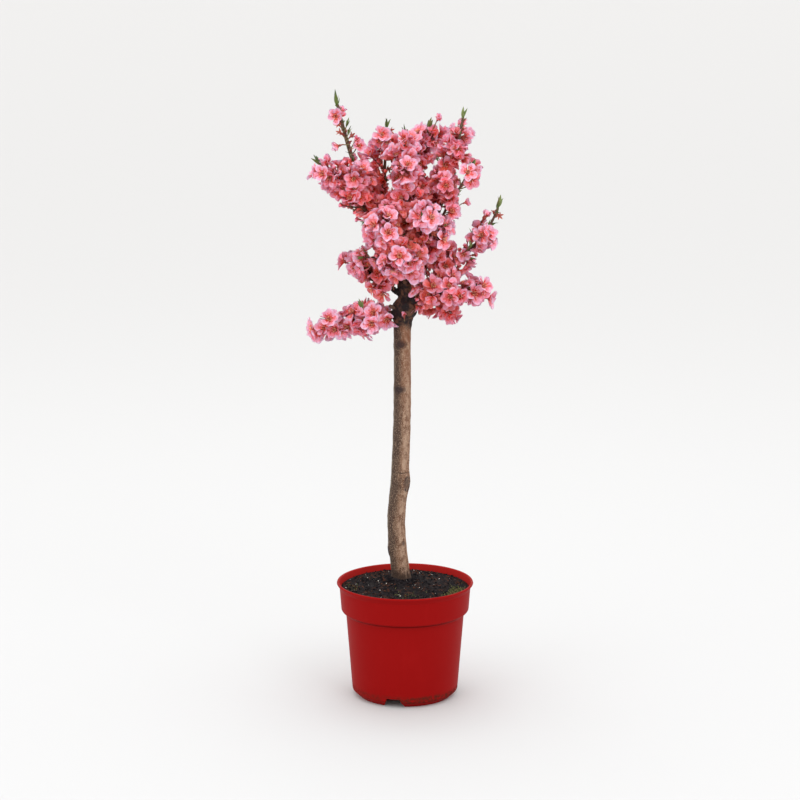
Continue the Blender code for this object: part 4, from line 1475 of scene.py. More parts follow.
@dataclass
class Crown:
    """The flowering wood and everything on it."""

    frame: Frame
    blossom: Blossom = field(default_factory=Blossom)
    foliage: Foliage = field(default_factory=Foliage)
    stem_radius: float = 0.0029
    stem_tip_radius: float = 0.0014
    twig_radius: float = 0.0016
    twig_tip_radius: float = 0.0008
    stem_points: int = 14
    stem_overlap: float = 0.004
    flower_step: float = 0.0031
    flower_space: float = 0.0080
    spur_step: float = 0.0042
    spur_length: float = 0.0100
    crest: float = 0.06
    crest_size: float = 0.62
    alike_space: float = 0.0134
    alike: float = 0.80
    shrink: float = 0.92
    shade_reach: float = 0.036
    shade_gap: float = 0.004
    shade_noise: float = 1.4
    flower_noise: float = 2.6
    tuft_chance: float = 0.05
    tip_tuft_chance: float = 0.22
    bare_star_chance: float = 0.30
    bare_tuft_chance: float = 0.45
    bare_foot: tuple[float, ...] = (0.0, 0.22, 0.35, 0.35)
    twig_lean: tuple[float, float] = (42.0, 66.0)
    spur_lean: tuple[float, float] = (60.0, 85.0)
    flower_lean: tuple[float, float] = (52.0, 96.0)
    dodge: float = radians(75.0)
    tries: int = 4
    view_plane: float = 0.005
    shoots: list[Shoot] = field(default_factory=list)
    bare_twigs: list[Shoot] = field(default_factory=list)
    flowers: list[Flower] = field(default_factory=list)

    def __post_init__(self) -> None:
        """Prepare the stems and the piles of shapes that the pieces are made from."""
        rng = random.Random(SEED)
        self.calyxes: list[Shape] = []
        self.stamens: list[Shape] = []
        self.leaves: list[Shape] = []
        self.stems = {limb.name: self.stem_path(limb) for limb in self.frame.limbs}
        self.stem_field = np.array([tuple(point) for path in self.stems.values() for point in path])
        self.stem_owner = [name for name, path in self.stems.items() for _ in path]
        self.chance = {limb.name: random.Random(f"{SEED} {limb.name}") for limb in self.frame.limbs}
        self.corollas = {bloom: [self.blossom.corolla(bloom, rng)
                                 for _ in range(self.blossom.variants)] for bloom in OPENINGS}
        self.filaments = {bloom: [self.blossom.stamens(OPENINGS[bloom].stamens, rng)
                                  for _ in range(3)]
                          for bloom in OPENINGS if OPENINGS[bloom].stamens}
        self.cups = [self.blossom.calyx(False, rng) for _ in range(4)]
        self.stars = [self.blossom.calyx(True, rng) for _ in range(4)]
        self.blades = [self.foliage.leaf(rng) for _ in range(12)]

    def stem_path(self, limb: Limb) -> list[Vector]:
        """Trace a limb's flowering stem, from its fork to its tip.

        Args:
            limb: the limb.

        Returns:
            The points of its path.
        """
        foot = self.frame.fork_share(limb)
        return [self.frame.point(limb, foot + (1.0 - foot) * index / (self.stem_points - 1))
                for index in range(self.stem_points)]

    def owner_at(self, point: Vector) -> str:
        """Return the name of the limb whose stem passes nearest to a point."""
        away = np.linalg.norm(self.stem_field - np.array(point), axis=1)
        return self.stem_owner[int(away.argmin())]

    def in_sky(self, corners: np.ndarray) -> bool:
        """Say whether a shape would cover an opening of the crown from the front.

        Args:
            corners: its points, one to a row.

        Returns:
            True if any of them does.
        """
        reach = (self.view_plane - EYE[1]) / (corners[:, 1] - EYE[1])
        x = EYE[0] + (corners[:, 0] - EYE[0]) * reach
        z = EYE[2] + (corners[:, 2] - EYE[2]) * reach
        for gap in SKY_GAPS:
            inside = ((x - gap.x) / gap.half_width) ** 2 + ((z - gap.z) / gap.half_height) ** 2
            if (inside < 1.0).any():
                return True
        return False

    def grow_wood(self) -> None:
        """Grow the stems, their twigs, and the spurs on both and on the boughs."""
        for limb in self.frame.limbs:
            path = self.stems[limb.name]
            radii = [limb.stout * radius
                     for radius in tapered(self.stem_radius, self.stem_tip_radius, len(path))]
            back = (path[0] - path[1]).normalized() * self.stem_overlap
            self.shoots.append(Shoot(limb, [path[0] + back] + path, [radii[0]] + radii, 0))
        for stem in list(self.shoots):
            limb = stem.limb
            self.branch(stem, limb.twigs, limb.twig_length, 1)
            self.branch(stem, 3 * limb.twigs, limb.twig_length * 0.50, 2)
            self.add_spurs(limb)
        for twig in [shoot for shoot in self.shoots if shoot.order == 1]:
            self.branch(twig, 2, path_length(twig.path) * 0.42, 2)

    def add_sprigs(self) -> None:
        """Add the lone side twigs, each with its bud, flower or leaf tuft."""
        for sprig in SPRIGS:
            limb = self.frame.named(sprig.limb)
            rng = self.chance[limb.name]
            foot, tip = head_point(*sprig.foot), head_point(*sprig.tip)
            facing = (tip - foot).normalized()
            path = self.bent_path(foot, facing, (tip - foot).length)
            thin = sprig.radius * 0.8
            order = 3 if sprig.size else 1
            self.bare_twigs.append(Shoot(limb, path, [sprig.radius] * 4 + [thin], order))
            if sprig.bloom is None and sprig.size:
                self.add_tuft(path[-1], facing + UP, 4, sprig.size, rng)
            elif sprig.bloom is not None:
                self.set_flower(limb, sprig.bloom, facing, rng.uniform(0.0, tau), path[-1],
                                sprig.size, False)

    def branch(self, parent: Shoot, count: int, length: float, order: int) -> None:
        """Grow side shoots round a parent by the golden angle, shorter towards its tip.

        Args:
            parent: the shoot that they leave.
            count: how many are tried.
            length: the length of the lowest.
            order: their order.
        """
        rng = self.chance[parent.limb.name]
        turn = rng.uniform(0.0, tau)
        whole = path_length(parent.path)
        for index in range(count):
            share = 0.08 + 0.80 * (index + 0.5) / count
            start, along = point_along(parent.path, whole * share)
            turn += GOLDEN_ANGLE
            direction = leaning(along, turn, rng.uniform(*self.twig_lean))
            reach = length * (1.15 - 0.5 * share) * rng.uniform(0.8, 1.15)
            if parent.order == 0 and share > parent.limb.bare[0]:
                continue
            self.add_shoot(parent.limb, start, direction, reach, order)

    def add_shoot(self, limb: Limb, start: Vector, direction: Vector, reach: float, order: int) -> None:
        """Add a side shoot unless it would grow into another mass or into sky.

        Args:
            limb: the limb that it belongs to.
            start: its foot.
            direction: the way that it sets out.
            reach: its length.
            order: its order.
        """
        path = self.bent_path(start, direction, reach)
        if order < 3 and self.owner_at(path[-1]) != limb.name:
            return
        if self.in_sky(np.array([tuple(point) for point in path])):
            return
        thick = self.twig_radius if order == 1 else self.twig_tip_radius * 1.25
        thin = self.twig_tip_radius if order == 1 else self.twig_tip_radius * 0.8
        self.shoots.append(Shoot(limb, path, tapered(thick, thin, len(path)), order))

    def add_spurs(self, limb: Limb) -> None:
        """Grow short spurs on the outer part of a limb's bough.

        Args:
            limb: the limb.
        """
        rng = self.chance[limb.name]
        end = self.frame.fork_share(limb)
        path = [self.frame.point(limb, end * (limb.spurs_from + (1.0 - limb.spurs_from) * share))
                for share in (0.0, 0.25, 0.5, 0.75, 1.0)]
        whole = path_length(path)
        turn = rng.uniform(0.0, tau)
        for index in range(round(whole / self.spur_step)):
            turn += GOLDEN_ANGLE
            start, along = point_along(path, self.spur_step * (index + 0.5))
            direction = leaning(along, turn, rng.uniform(*self.spur_lean))
            self.add_shoot(limb, start, direction, self.spur_length * rng.uniform(0.8, 1.3), 3)

    def is_bare(self, limb: Limb, share: float) -> bool:
        """Say whether a place on a limb's stem, given as a share, stays bare."""
        low, high = limb.bare
        return low < share < high or share > high + self.crest

    def bent_path(self, start: Vector, direction: Vector, length: float) -> list[Vector]:
        """Return a short path that bends up towards the light.

        Args:
            start: its foot.
            direction: the way that it sets out.
            length: its length.

        Returns:
            Its points.
        """
        points = []
        for index in range(5):
            share = index / 4.0
            lift = UP * (0.22 * length * share * share)
            points.append(start + direction * (length * share) + lift)
        return points

    def dress(self) -> None:
        """Set blossom, buds, spent calyxes and leaf tufts on every shoot, tips first."""
        self.add_sprigs()
        for shoot in self.shoots:
            self.dress_tip(shoot)
        for order in (3, 2, 1, 0):
            for shoot in [shoot for shoot in self.shoots if shoot.order == order]:
                self.dress_sides(shoot)

    def dress_tip(self, shoot: Shoot) -> None:
        """Set a leaf tuft or a flower on a shoot's tip.

        Args:
            shoot: the shoot.
        """
        rng = self.chance[shoot.limb.name]
        along = heading(shoot.path, len(shoot.path) - 1)
        if shoot.order == 0 and shoot.limb.tip_leaves:
            upright = (along + UP * 0.6).normalized()
            self.add_tuft(shoot.path[-1], upright, shoot.limb.tip_leaves + 1, 1.15, rng)
        elif shoot.order == 1 and rng.random() < self.tip_tuft_chance:
            self.add_tuft(shoot.path[-1], along, rng.randint(2, 4), 0.8, rng)
        else:
            self.add_flower(shoot, shoot.path[-1], along)

    def dress_sides(self, shoot: Shoot) -> None:
        """Set flowers along a shoot by the golden angle.

        Args:
            shoot: the shoot.
        """
        rng = self.chance[shoot.limb.name]
        whole = path_length(shoot.path)
        first = self.bare_foot[shoot.order] * whole
        count = max(1, round((whole - first) / self.flower_step))
        turn = rng.uniform(0.0, tau)
        for index in range(count):
            at = first + (whole - first) * index / count
            turn += GOLDEN_ANGLE
            root, along = point_along(shoot.path, at)
            facing = leaning(along, turn, rng.uniform(*self.flower_lean))
            if shoot.order == 0 and self.is_bare(shoot.limb, at / whole):
                self.dress_bare(root, (facing + along * 1.5).normalized(), rng)
            elif shoot.order == 0 and at / whole > shoot.limb.bare[1]:
                self.add_flower(shoot, root, (facing + along).normalized(), self.crest_size)
            elif rng.random() < self.tuft_chance:
                self.add_tuft(root, facing + along * 0.8, 3, 0.8, rng)
            else:
                self.add_flower(shoot, root, facing)

    def dress_bare(self, root: Vector, facing: Vector, rng: random.Random) -> None:
        """Set a spent calyx, a small tuft or nothing on a bare stretch.

        Args:
            root: the place.
            facing: the way that it points.
            rng: the source of the choice.
        """
        chance = rng.random()
        if chance < self.bare_star_chance:
            star = rng.choice(self.stars)
            self.calyxes.append(star.moved(aimed(facing, rng.uniform(0.0, tau)), root, 0.9))
        elif chance < self.bare_star_chance + self.bare_tuft_chance:
            self.add_tuft(root, facing, 3, 0.62, rng)

    def add_flower(self, shoot: Shoot, root: Vector, facing: Vector, size: float = 1.0) -> None:
        """Add a flower, bud or spent calyx, unless its place is taken or is sky.

        A place that is too tight for the flower takes it turned and smaller, or as a bud.

        Args:
            shoot: the shoot that it grows on.
            root: its foot.
            facing: the way that it looks.
            size: how large it may be, as a share of a full one.
        """
        rng = self.chance[shoot.limb.name]
        chance = rng.random()
        scale = size * rng.uniform(0.84, 1.06)
        roll = rng.uniform(0.0, tau)
        bloom = next(kind for kind, share in BLOOM_SHARES if chance < share)
        if size < 1.0:
            bloom = Bloom.OPENING
        for attempt in range(self.tries):
            if attempt == self.tries - 1 and bloom is not Bloom.SPENT:
                bloom, scale = Bloom.BUD, 0.8 * size
            if self.has_room(shoot, root + facing * self.middle(bloom), facing):
                if self.set_flower(shoot.limb, bloom, facing, roll, root, scale, True):
                    return
            along = heading(shoot.path, len(shoot.path) - 1)
            facing = (Matrix.Rotation(self.dodge, 3, along) @ facing + along * 0.1).normalized()
            scale *= self.shrink

    def middle(self, bloom: Bloom) -> float:
        """Return how far the middle of a flower lies from its foot."""
        return self.blossom.petal_length * (0.5 if bloom is Bloom.BUD else 0.8)

    def set_flower(self, limb: Limb, bloom: Bloom, facing: Vector, roll: float, root: Vector,
                   scale: float, keep_sky: bool) -> bool:
        """Set one flower, bud or spent calyx in its place.

        Args:
            limb: the limb that it belongs to.
            bloom: how far it is open.
            facing: the way that it looks.
            roll: its turn round that way.
            root: its foot.
            scale: its size, as a share of a full one.
            keep_sky: whether it is left out where it would cover an opening of the crown.

        Returns:
            True if it was set.
        """
        rng = self.chance[limb.name]
        turn = aimed(facing, roll)
        cup = rng.choice(self.stars if bloom is Bloom.SPENT else self.cups)
        if bloom is not Bloom.SPENT:
            petals = rng.choice(self.corollas[bloom]).moved(turn, root, scale)
            if keep_sky and self.in_sky(petals.corners):
                return False
            centre = root + facing * self.middle(bloom)
            self.flowers.append(Flower(limb, petals, centre, facing))
        self.calyxes.append(cup.moved(turn, root, scale))
        if bloom in self.filaments:
            self.stamens.append(rng.choice(self.filaments[bloom]).moved(turn, root, scale))
        return True

    def has_room(self, shoot: Shoot, centre: Vector, facing: Vector) -> bool:
        """Say whether a flower is clear of others, more so of those that face alike.

        Args:
            shoot: the shoot that it grows on.
            centre: its middle.
            facing: the way that it looks.

        Returns:
            True if it is clear of them and in its own mass.
        """
        for other in self.flowers:
            away = (centre - other.centre).length
            if away < self.flower_space:
                return False
            if away < self.alike_space and facing.dot(other.facing) > self.alike:
                return False
        return shoot.order == 3 or self.owner_at(centre) == shoot.limb.name

    def petal_slots(self) -> np.ndarray:
        """Choose the tone of every petal as painted shade, by how much blossom stands over it, with
        some at random.

        Returns:
            The first slot of each petal's tone.
        """
        flowers = np.array([tuple(flower.centre) for flower in self.flowers])
        petals = np.concatenate([flower.petals.corners.reshape(5, -1, 3).mean(axis=1)
                                 for flower in self.flowers])
        away = np.linalg.norm(petals[:, None] - self.stem_field[None], axis=2)
        out = petals - self.stem_field[away.argmin(axis=1)]
        out /= np.linalg.norm(out, axis=1)[:, None]
        aside = petals * (1.0, 1.0, 0.0)
        aside /= np.linalg.norm(aside, axis=1)[:, None]
        light = out + 0.5 * aside + (0.0, 0.0, 0.6)
        light /= np.linalg.norm(light, axis=1)[:, None]
        towards = flowers[None] - petals[:, None]
        over = np.einsum("pfc,pc->pf", towards, light) > self.shade_gap
        over &= np.linalg.norm(towards, axis=2) < self.shade_reach
        rng = np.random.default_rng(SEED)
        # Painted shade per limb, spread at random from flower to flower
        painted_shade_shift = rng.normal([flower.limb.painted_shade_shift for flower in self.flowers], self.flower_noise)
        chance = rng.normal(0.0, self.shade_noise, len(petals)) + np.repeat(painted_shade_shift, 5)
        rank = (over.sum(axis=1) + chance).argsort().argsort() / len(petals)
        return np.searchsorted(TONE_SHARES, rank) * self.blossom.bands

    def tinted(self) -> dict[Side, list[Shape]]:
        """Give the petals their tints.

        Returns:
            The petals by the side of the crown.
        """
        sides: dict[Side, list[Shape]] = {side: [] for side in Side}
        for flower, first in zip(self.flowers, self.petal_slots().reshape(-1, 5)):
            bare = flower.petals
            slots = bare.slots + np.repeat(first, len(bare.slots) // 5)
            sides[flower.limb.side].append(Shape(bare.corners, bare.loops, bare.sizes, slots))
        return sides

    def add_tuft(self, root: Vector, along: Vector, count: int, size: float,
                 rng: random.Random) -> None:
        """Add a tuft of leaves.

        Args:
            root: where it grows.
            along: the way that it points.
            count: how many leaves it has.
            size: their size, as a share of the largest.
            rng: the source of its small differences.
        """
        axis = along.normalized()
        for index in range(count):
            spread = rng.uniform(1.0, 5.0) if index == 0 else rng.uniform(7.0, 24.0)
            facing = leaning(axis, index * GOLDEN_ANGLE, spread)
            turn = aimed(facing, rng.uniform(0.0, tau))
            scale = size * (1.0 - 0.10 * index) * rng.uniform(0.85, 1.1)
            blade = rng.choice(self.blades).moved(turn, root - axis * 0.001, scale,
                                                  rng.choice((0, 0, 1, 2)))
            self.leaves.append(blade)

    def build(self) -> None:
        """Grow the crown and make its pieces."""
        self.grow_wood()
        self.dress()
        finishes = [tint.material() for tint in petal_tints(self.blossom.bands)]
        for side, petals in self.tinted().items():
            nodes = tuple("mass_" + limb.name for limb in self.frame.limbs if limb.side is side)
            piece = Shape.joined(petals).built("petals_" + side.value, finishes)
            take_over(piece, nodes)
        add_small("calyxes", self.calyxes)
        add_small("stamens", self.stamens)
        add_small("leaves", self.leaves)
        add_small("twigs", [tube(shoot.path, shoot.radii, 7 if shoot.order == 0 else 5,
                                 0 if shoot.order < 2 else 1)
                            for shoot in self.shoots + self.bare_twigs])
        LOG.info("%d flowers, %d shoots", len(self.flowers), len(self.shoots))


# Where each colour of a tone lies, from the throat to the edge
COLOUR_SHARES = (0.07, 0.22, 0.36, 0.58, 0.88)

# Each tone's colours from throat to edge; the covered tones are painted deeper and warmer, as painted
# shade with light through the petals
PETAL_COLOURS = {
    Tone.PALE: ((0.540, 0.044, 0.024), (0.700, 0.132, 0.116), (0.765, 0.268, 0.345),
                (0.785, 0.400, 0.565), (0.800, 0.545, 0.690)),
    Tone.FRESH: ((0.520, 0.036, 0.019), (0.675, 0.096, 0.076), (0.750, 0.188, 0.218),
                 (0.785, 0.290, 0.410), (0.805, 0.412, 0.552)),
    Tone.DEEP: ((0.530, 0.036, 0.014), (0.685, 0.090, 0.052), (0.775, 0.156, 0.142),
                (0.820, 0.240, 0.275), (0.850, 0.340, 0.415)),
    Tone.SHADED: ((0.545, 0.040, 0.012), (0.705, 0.090, 0.042), (0.815, 0.148, 0.112),
                  (0.870, 0.212, 0.200), (0.895, 0.292, 0.305)),
}


def petal_tints(bands: int) -> list[PetalTint]:
    """Mix the petals' finishes: the bands of each tone, from throat to edge.

    Args:
        bands: how many bands a tone has.

    Returns:
        The finishes, in the order of their slots.
    """
    tints = []
    for tone, colours in PETAL_COLOURS.items():
        for band in range(bands):
            share = (band + 0.5) / bands
            colour = tuple(float(np.interp(share, COLOUR_SHARES, channel)) for channel in zip(*colours))
            tints.append(PetalTint(f"petal_{tone.name.lower()}_{band + 1}", colour))
    return tints


# Pot

@dataclass
class Pot:
    """The red nursery pot: thin wall, rolled rim, collar, tapered body and notched foot."""

    height: float
    rim_radius: float
    sides: int = 144
    lip_depth: float = 0.0080
    lip_round: float = 0.0008
    collar_depth: float = 0.0386
    collar_top_radius: float = 0.0862
    collar_low_radius: float = 0.0840
    collar_round: float = 0.0020
    body_top_radius: float = 0.0778
    body_low_radius: float = 0.0697
    chamfer_height: float = 0.0078
    foot_radius: float = 0.0616
    foot_width: float = 0.0022
    channel_height: float = 0.0128
    pad_radius: float = 0.0240
    wall: float = 0.0014
    dirt_height: float = 0.0125
    notch_count: int = 3
    notch_first: float = radians(257.0)
    notch_height: float = 0.0122
    notch_top_width: float = 0.0170
    notch_low_width: float = 0.0280
    drain_count: int = 6
    drain_radius: float = 0.0050
    drain_circle: float = 0.0440

    def body_radius(self, height: float) -> float:
        """Reckon the outer radius of the tapered body.

        Args:
            height: the height above the floor.

        Returns:
            The radius there.
        """
        top = self.height - self.collar_depth
        share = (height - self.chamfer_height) / (top - self.chamfer_height)
        return self.body_low_radius + share * (self.body_top_radius - self.body_low_radius)

    def inside(self) -> list[Point]:
        """Lay out the inner profile from the middle to the rim.

        Returns:
            Its points, each as radius, height and rounding.
        """
        wall, pad, floor = self.wall, self.pad_radius, self.channel_height + self.wall
        low = self.height - self.collar_depth
        return [
            (0.0, wall, 0.0),
            (pad - wall, wall, 0.0010),
            (pad - wall + self.channel_height / 4.0, floor, 0.0010),
            (self.body_radius(floor) - wall, floor, 0.0020),
            (self.body_radius(low) - wall, low + wall / 2.0, 0.0010),
            (self.collar_low_radius - wall, low + self.collar_round + wall, 0.0010),
            (self.collar_top_radius - wall, self.height - self.lip_depth, 0.0020),
            (self.rim_radius - 2.4 * wall, self.height - self.lip_round, 0.0010),
        ]

    def outside(self) -> list[Point]:
        """Lay out the outer profile from the rim down to the middle.

        Returns:
            Its points, each as radius, height and rounding.
        """
        rim, lip, low = self.rim_radius, self.lip_round, self.height - self.collar_depth
        bend, channel = self.collar_round, self.channel_height
        body, foot = self.body_low_radius, self.foot_radius
        return [
            (rim - 1.8 * self.wall, self.height, 0.0006),
            (rim - lip, self.height, 0.0008),
            (rim, self.height - 2.6 * lip, 0.0010),
            (rim - 0.0012, self.height - 3.6 * lip, 0.0006),
            (self.collar_top_radius, self.height - self.lip_depth, 0.0018),
            (self.collar_low_radius, low + bend, 0.0012),
            (self.collar_low_radius - bend / 2.0, low + bend / 4.0, 0.0006),
            (self.body_top_radius + bend, low - bend / 2.0, 0.0010),
            (self.body_top_radius, low - 2.0 * bend, 0.0020),
            (body, self.chamfer_height, 0.0050),
            (foot, 0.0, 0.0008),
            (foot - self.foot_width, 0.0, 0.0005),
            (body - self.foot_width, self.chamfer_height, 0.0030),
            (body - self.foot_width, channel, 0.0008),
            (self.pad_radius + channel / 4.0, channel, 0.0008),
            (self.pad_radius, 0.0, 0.0008),
            (0.0, 0.0, 0.0),
        ]

    def build(self) -> None:
        """Make the pot."""
        profile = rounded(self.inside() + self.outside())
        finish = PotPlastic(self.dirt_height, self.height - self.collar_depth).material()
        shell = turned(profile, self.sides).built("pot_shell", [finish])
        cutters = bpy.data.collections.new("pot_cutters")
        bpy.context.scene.collection.children.link(cutters)
        for count, cutter in ((self.notch_count, self.notch), (self.drain_count, self.drain)):
            for index in range(count):
                thing = cutter(self.notch_first + index * tau / count).built(
                    "pot_cutter", [finish], None)
                bpy.context.scene.collection.objects.unlink(thing)
                cutters.objects.link(thing)
        cut = shell.modifiers.new("cut", "BOOLEAN")
        cut.operation = "DIFFERENCE"
        cut.operand_type = "COLLECTION"
        cut.collection = cutters
        cut.solver = "EXACT"
        bake_modifiers(shell)
        for thing in list(cutters.objects):
            bpy.data.objects.remove(thing, do_unlink=True)
        bpy.data.collections.remove(cutters)
        shell.data.shade_smooth()
        shell.data.set_sharp_from_angle(angle=radians(32.0))
        take_over(shell, ("pot",))

    def notch(self, angle: float) -> Shape:
        """Make a wedge-shaped cutter for one drainage notch.

        Args:
            angle: where it stands round the foot, in radians.

        Returns:
            The cutter.
        """
        inner = self.foot_radius - 2.0 * self.foot_width
        outer = self.body_low_radius + self.foot_width
        low, top = -self.foot_width, self.notch_height
        grow = (self.notch_low_width - self.notch_top_width) / top
        half_low = (self.notch_low_width - grow * low) / 2.0
        half_top = self.notch_top_width / 2.0
        ring = rounded([(-half_low, low, 0.0), (half_low, low, 0.0),
                        (half_top, top, 0.0012), (-half_top, top, 0.0012)], closed=True)
        turn = Matrix.Rotation(angle, 3, "Z")
        corners = [turn @ Vector((radius, side, height))
                   for radius in (inner, outer) for side, height in ring]
        return Shape.of(corners, ring_faces(2, len(ring), capped=True))

    def drain(self, angle: float) -> Shape:
        """Make an upright round cutter for one drain hole.

        Args:
            angle: where it stands round the floor, in radians.

        Returns:
            The cutter.
        """
        centre = spoke(angle) * self.drain_circle
        path = [centre + UP * height for height in (self.channel_height - self.wall,
                                                    self.channel_height + 2.0 * self.wall)]
        return tube(path, [self.drain_radius] * 2, 24)


def rounded(outline: list[Point], closed: bool = False) -> list[tuple[float, float]]:
    """Return an outline whose corners are arcs.

    Args:
        outline: points with the radius that rounds each.
        closed: whether the last point joins the first.

    Returns:
        The points of the rounded outline.
    """
    points = []
    count = len(outline)
    for index, (x, y, radius) in enumerate(outline):
        ends = not closed and index in (0, count - 1)
        if ends or radius == 0.0:
            points.append((x, y))
            continue
        here = Vector((x, y))
        before = Vector(outline[index - 1][:2]) - here
        after = Vector(outline[(index + 1) % count][:2]) - here
        half = before.angle(after) / 2.0
        reach = min(radius / tan(half), 0.45 * before.length, 0.45 * after.length)
        first = here + before.normalized() * reach
        last = here + after.normalized() * reach
        for step in range(ARC_STEPS + 1):
            share = step / ARC_STEPS
            point = (first * (1.0 - share) ** 2 + here * (2.0 * share * (1.0 - share))
                     + last * share ** 2)
            points.append((point.x, point.y))
    return points


def turned(profile: list[tuple[float, float]], sides: int) -> Shape:
    """Turn a profile round the Z axis.

    Args:
        profile: pairs of a radius and a height; the first and last lie on the axis.
        sides: how many sides the round has.

    Returns:
        The shape.
    """
    inner = profile[1:-1]
    corners = [(x, y, height) for radius, height in inner for x, y in circle(radius, sides)]
    faces = [tuple(reversed(face)) for face in ring_faces(len(inner), sides)]
    start, end = len(corners), len(corners) + 1
    corners += [(0.0, 0.0, profile[0][1]), (0.0, 0.0, profile[-1][1])]
    last = (len(inner) - 1) * sides
    for side in range(sides):
        after = (side + 1) % sides
        faces.append((start, side, after))
        faces.append((end, last + after, last + side))
    return Shape.of(corners, faces)


# Soil

@dataclass
class Soil:
    """The compost in the pot, with crumbs, bark fibres, perlite and a little moss."""

    pot: Pot
    trunk_foot: Vector
    rng: random.Random
    edge_height: float = 0.1443
    top_height: float = 0.1514
    flat_radius: float = 0.0155
    gap: float = 0.0004
    sides: int = 120
    rings: int = 44
    lumps: float = 0.0022
    crumb_count: int = 2100
    heap_share: float = 0.24
    heap_width: float = 0.007
    heap_height: float = 0.0026
    crumb_size: tuple[float, float] = (0.0005, 0.0014)
    fibre_count: int = 170
    fibre_length: tuple[float, float] = (0.002, 0.007)
    fibre_radius: tuple[float, float] = (0.00018, 0.00055)
    perlite_count: int = 62
    perlite_size: tuple[float, float] = (0.0003, 0.0006)
    moss_length: tuple[float, float] = (0.0012, 0.0028)
    moss_radii: tuple[float, float] = (0.00045, 0.00018)
    moss_patches: tuple[tuple[float, float, float, int], ...] = (
        (-20.0, 10.0, 0.84, 270), (184.0, 8.0, 0.84, 24), (-84.0, 14.0, 0.55, 28))

    def edge_radius(self) -> float:
        """Return the radius at which the soil meets the pot's wall."""
        return self.pot.collar_top_radius - self.pot.wall - self.gap

    def height_at(self, x: float, y: float) -> float:
        """Work out the height of the soil's rough surface.

        Args:
            x: the place across.
            y: the place in depth.

        Returns:
            The height there.
        """
        radius = hypot(x, y)
        away = hypot(x - self.trunk_foot.x, y - self.trunk_foot.y)
        share = 1.0 - min(1.0, max(0.0, (away - self.flat_radius)
                                   / (self.edge_radius() - self.flat_radius)))
        base = self.edge_height + (self.top_height - self.edge_height) * smooth_step(share)
        at = Vector((x, y, 0.0))
        rough = noise.noise(at * 62.0) + 0.55 * noise.noise(at * 160.0) + 0.30 * noise.noise(at * 420.0)
        calm = smooth_step((self.edge_radius() - radius) / 0.004) * 0.8 + 0.2
        turn = atan2(y - self.trunk_foot.y, x - self.trunk_foot.x)
        side = 0.55 - 0.45 * cos(turn - radians(25.0))
        heap = exp(-(max(0.0, away - self.flat_radius) / self.heap_width) ** 2)
        return base + self.lumps * 0.55 * rough * calm + self.heap_height * heap * side

    def body(self) -> Shape:
        """Make the soil's whole body: its rough surface and the plain sides in the pot.

        Returns:
            The body's shape.
        """
        corners = [(0.0, 0.0, self.height_at(0.0, 0.0))]
        edge = self.edge_radius()
        for ring in range(1, self.rings + 1):
            corners += [(x, y, self.height_at(x, y))
                        for x, y in circle(edge * ring / self.rings, self.sides)]
        below = [point for point in reversed(self.pot.inside()) if point[1] < self.edge_height
                 and point[0] > 0.0]
        for radius, height, _ in below:
            corners += [(x, y, height + self.gap) for x, y in circle(radius - self.gap, self.sides)]
        rings = self.rings + len(below)
        faces = [(0, 1 + side, 1 + (side + 1) % self.sides) for side in range(self.sides)]
        faces += [tuple(1 + number for number in reversed(face))
                  for face in ring_faces(rings, self.sides)]
        last = 1 + (rings - 1) * self.sides
        faces.append(tuple(reversed(range(last, last + self.sides))))
        return Shape.of(corners, faces)

    def on_top(self, x: float, y: float) -> Vector:
        """Return the point of the surface at a place."""
        return Vector((x, y, self.height_at(x, y)))

    def spot(self, outer: float = 0.985) -> Vector:
        """Choose a place on the surface that isn't under the trunk.

        Args:
            outer: how near the pot's wall it may lie, as a share of the radius.

        Returns:
            The place.
        """
        while True:
            radius = self.edge_radius() * sqrt(self.rng.uniform(0.0, outer ** 2))
            angle = self.rng.uniform(0.0, tau)
            x, y = radius * cos(angle), radius * sin(angle)
            if hypot(x - self.trunk_foot.x, y - self.trunk_foot.y) > self.flat_radius:
                return self.on_top(x, y)

    def lump(self, size: float, flat: float, slot: int) -> Shape:
        """Return a rough twenty-faced lump.

        Args:
            size: its mean radius.
            flat: its height as a share of its width.
            slot: its finish.

        Returns:
            The lump, turned at random.
        """
        golden = (1.0 + sqrt(5.0)) / 2.0
        base = [(-1, golden, 0), (1, golden, 0), (-1, -golden, 0), (1, -golden, 0),
                (0, -1, golden), (0, 1, golden), (0, -1, -golden), (0, 1, -golden),
                (golden, 0, -1), (golden, 0, 1), (-golden, 0, -1), (-golden, 0, 1)]
        faces = [(0, 11, 5), (0, 5, 1), (0, 1, 7), (0, 7, 10), (0, 10, 11), (1, 5, 9),
                 (5, 11, 4), (11, 10, 2), (10, 7, 6), (7, 1, 8), (3, 9, 4), (3, 4, 2),
                 (3, 2, 6), (3, 6, 8), (3, 8, 9), (4, 9, 5), (2, 4, 11), (6, 2, 10),
                 (8, 6, 7), (9, 8, 1)]
        stretch = [self.rng.uniform(0.7, 1.3) for _ in range(3)]
        corners = []
        for corner in base:
            grow = size * self.rng.uniform(0.75, 1.2) / hypot(1.0, golden)
            corners.append([part * grow * wide for part, wide in zip(corner, stretch)])
        turn = Matrix.Rotation(self.rng.uniform(0.0, tau), 3, "Z") \
            @ Matrix.Rotation(self.rng.uniform(-0.6, 0.6), 3, "X")
        squash = Matrix.Diagonal((1.0, 1.0, flat))
        return Shape.of(corners, faces, slot).moved(squash @ turn, Vector())

    def heaped(self) -> Vector:
        """Choose a place close round the trunk, mostly at its left and front.

        Returns:
            The place, on the surface.
        """
        angle = radians(self.rng.gauss(235.0, 62.0))
        away = self.flat_radius + abs(self.rng.gauss(0.0, self.heap_width)) - 0.0026
        return self.on_top(self.trunk_foot.x + away * cos(angle), self.trunk_foot.y + away * sin(angle))

